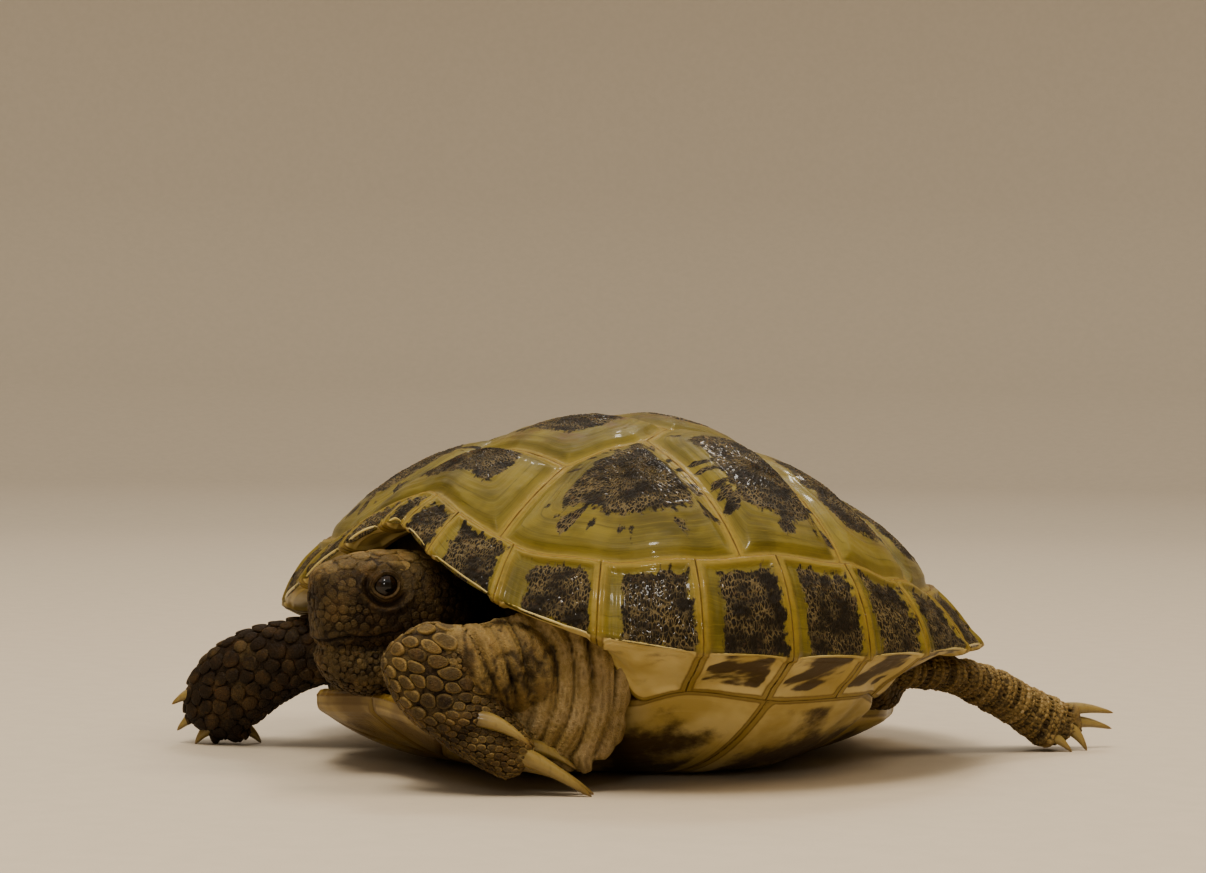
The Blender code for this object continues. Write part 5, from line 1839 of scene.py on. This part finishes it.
def scale_faces(rings, turns):
    """Faces of one scale: a tip, rings and a root."""
    faces = fan_faces(1, turns, 0, flip=True) + grid_faces(rings, turns, start=1)
    return faces + fan_faces(1 + (rings - 1) * turns, turns, 1 + rings * turns)


def on_map(number, length, turn):
    """Middle of each scale's patch: a region is a band, unrolled along and round the limb."""
    band = (number + (length - length.min()) / max(1e-6, np.ptp(length))) / len(REGIONS)
    return MAP_EDGE + (1 - 2 * MAP_EDGE) * np.stack((turn / (2 * np.pi) + 0.5, band), -1)


def build_scales(material, skin, ground):
    """Scales rooted on the skin, folded or not, as one object for each piece."""
    tree = tree_of(skin.points)
    pieces = {}
    for number, name in enumerate(REGIONS):
        look = SCALES.get(name)
        chosen = skin.corners[np.all(skin.region[skin.corners] == number, 1)] if look else ()
        if len(chosen) == 0:
            continue
        rng = np.random.default_rng(SCALE_SEED + number)
        place, lean, length, turn, size = choose_roots(name, look, skin, chosen, ground, rng)
        points, edge, inside, patch, turns = scale_bodies(name, look, place, lean, size, ground,
                                                          rng)
        tone = [np.mean([skin.tone[j] for _, j, _ in tree.find_n(p, 6)]) for p in place]
        tone = np.array(tone) + look.tone + 0.20 * (rng.random(len(place)) - 0.5)
        # the third field darkens the part of each scale sunk in the skin: painted shade round its
        # root
        fields = (tone[:, None], edge * look.rim, inside)
        fields = [np.broadcast_to(values, points.shape[:2]) for values in fields]
        patch = on_map(number, length, turn)[:, None] + BAKE_PATCH * patch
        faces = scale_faces((points.shape[1] - 2) // turns, turns)
        pieces.setdefault(look.piece, []).append((points, faces, fields, patch))
    for piece, parts in pieces.items():
        add_coat(piece, parts, material)


def add_coat(piece, parts, material):
    """Joins the scales of some regions into one object with its map for baking."""
    faces, start = [], 0
    for points, one, _, _ in parts:
        count, size = points.shape[:2]
        faces += [[v + start + k * size for v in face] for k in range(count) for face in one]
        start += count * size
    points = np.vstack([part[0].reshape(-1, 3) for part in parts])
    points[:, 2] = np.maximum(points[:, 2], SCALES_LOWEST)
    # tone, pale rim, and painted shade round each scale's root
    fields = {key: np.clip(np.concatenate([part[2][k].ravel() for part in parts]), 0, 1)
              for k, key in enumerate(("tone", "edge", "crease_shade"))}
    fields["grain"] = points
    mesh = make_object("scales_" + piece, points, faces, material, fields).data
    patch = np.vstack([part[3].reshape(-1, 2) for part in parts]).astype(np.float32)
    corner = read(mesh.loops, "vertex_index", 1, int).ravel()
    mesh.uv_layers.new(name="OFBake").data.foreach_set("uv", patch[corner].ravel())


# ---------------------------------------------------------------- the room

TARGET = Vector((0.0, -0.00394, 0.0170))     # middle of the shell
# Where the camera stands from the target, then which way it looks, in degrees and metres
CAMERA_TURN, CAMERA_RISE, CAMERA_AWAY = 50.0, 4.0, 0.320
CAMERA_YAW, CAMERA_PITCH, CAMERA_ROLL = 50.51, -0.224, -0.5
LENS, SENSOR = 79.28, 36.0                  # in millimetres
FLOOR_COLOUR = (0.47, 0.405, 0.315)
# Distance from the middle of the floor and its height there, in metres
FLOOR_PROFILE = ((0.3, 0.0), (0.7, 0.0), (1.0, 0.01), (1.2, 0.06), (1.34, 0.18), (1.40, 0.40),
                 (1.42, 1.0))
FLOOR_TURNS = 96
# Soft broad lights, and small ones for the shine: turn and rise in degrees, distance and
# size in metres, watts, colour and whether horn and eyes reflect it
LIGHTS = {
    "window": (28.0, 66.0, 0.9, 0.50, 6.2, (1.0, 0.93, 0.82), False),
    "glint": (34.0, 60.0, 0.9, 0.14, 1.4, (1.0, 0.96, 0.90), True),
    "lamp": (118.0, 48.0, 1.0, 0.35, 3.0, (1.0, 0.86, 0.68), False),
    "back": (-130.0, 50.0, 1.1, 0.5, 1.8, (0.95, 0.96, 1.0), False),
    "catch": (44.0, 24.0, 0.9, 0.07, 0.5, (1.0, 0.98, 0.95), True),
    "back_glint": (-140.0, 55.0, 1.0, 0.14, 0.8, (1.0, 0.96, 0.90), True),
    "low": (40.0, 14.0, 1.1, 0.8, 1.0, (1.0, 0.92, 0.82), False),
}
AIR_COLOUR = (0.80, 0.76, 0.70, 1.0)
AIR_STRENGTH = 0.75


def room_material():
    s = Shader("matt_floor")
    place = s.node("TexCoord", {}, out=3)
    grain = s.noise(place, 0.004, 3.0)
    colour = s.tint(FLOOR_COLOUR, tuple(0.97 * c for c in FLOOR_COLOUR), grain, 0.3, 0.7)
    return s.finish(colour, s.add(0.60, s.times(grain, 0.1)), s.bump(grain, 0.01))


def build_room():
    """Round floor that curves up into a wall, so that every view has the same ground."""
    points = [(0.0, 0.0, 0.0)]
    for reach, height in FLOOR_PROFILE:
        points += [(*polar(360.0 * k / FLOOR_TURNS, reach), height) for k in range(FLOOR_TURNS)]
    faces = fan_faces(1, FLOOR_TURNS, 0, flip=True)
    faces += grid_faces(len(FLOOR_PROFILE), FLOOR_TURNS, start=1)
    mesh = bpy.data.meshes.new("room")
    mesh.from_pydata(points, [], faces)
    mesh.polygons.foreach_set("use_smooth", np.ones(len(faces), bool))
    mesh.materials.append(room_material())
    link("room", mesh)


def area_light(name, turn, rise, away, size, power, colour, shines):
    """Round light aimed at the animal; one that does not shine leaves no reflection."""
    light = bpy.data.lights.new(name, "AREA")
    light.shape = "DISK"
    light.size = size
    light.energy = power
    light.color = colour
    obj = link(name, light)
    obj.location = TARGET + away * Vector(heading(turn, rise))
    obj.rotation_euler = (TARGET - obj.location).to_track_quat("-Z", "Y").to_euler()
    obj.visible_glossy = shines


def build_lights():
    for name, values in LIGHTS.items():
        area_light(name, *values)
    world = bpy.data.worlds.new("room_air")
    world.use_nodes = True
    air = world.node_tree.nodes["Background"]
    air.inputs["Color"].default_value = AIR_COLOUR
    air.inputs["Strength"].default_value = AIR_STRENGTH
    bpy.context.scene.world = world
    bpy.context.scene.view_settings.look = "AgX - Medium High Contrast"


def build_camera():
    place = TARGET + CAMERA_AWAY * Vector(heading(CAMERA_TURN, CAMERA_RISE))
    roll = math.radians(CAMERA_ROLL)
    ahead = -Vector(heading(CAMERA_YAW, -CAMERA_PITCH))
    right = ahead.cross(Vector((0, 0, 1))).normalized()
    up = right.cross(ahead)
    level_right = right * math.cos(roll) - up * math.sin(roll)
    level_up = right * math.sin(roll) + up * math.cos(roll)
    turn = Matrix((level_right, level_up, -ahead)).transposed()
    camera = bpy.data.cameras.new("main_camera")
    camera.sensor_width = SENSOR
    camera.lens = LENS
    camera.clip_start = 0.01
    obj = link("main_camera", camera)
    obj.matrix_world = Matrix.Translation(place) @ turn.to_4x4()
    bpy.context.scene.camera = obj


# ---------------------------------------------------------------- all of it

def build():
    build_back(horn_material("plate_horn"))
    build_rim(horn_material("rim_horn"))
    build_belly(horn_material("belly_horn"))
    skin_look = skin_material()
    skin, ground = build_skin(skin_look)
    build_scales(skin_look, skin, ground)
    build_eyes(eye_material())
    build_claws(claw_material())
    build_room()
    build_lights()
    build_camera()


build()
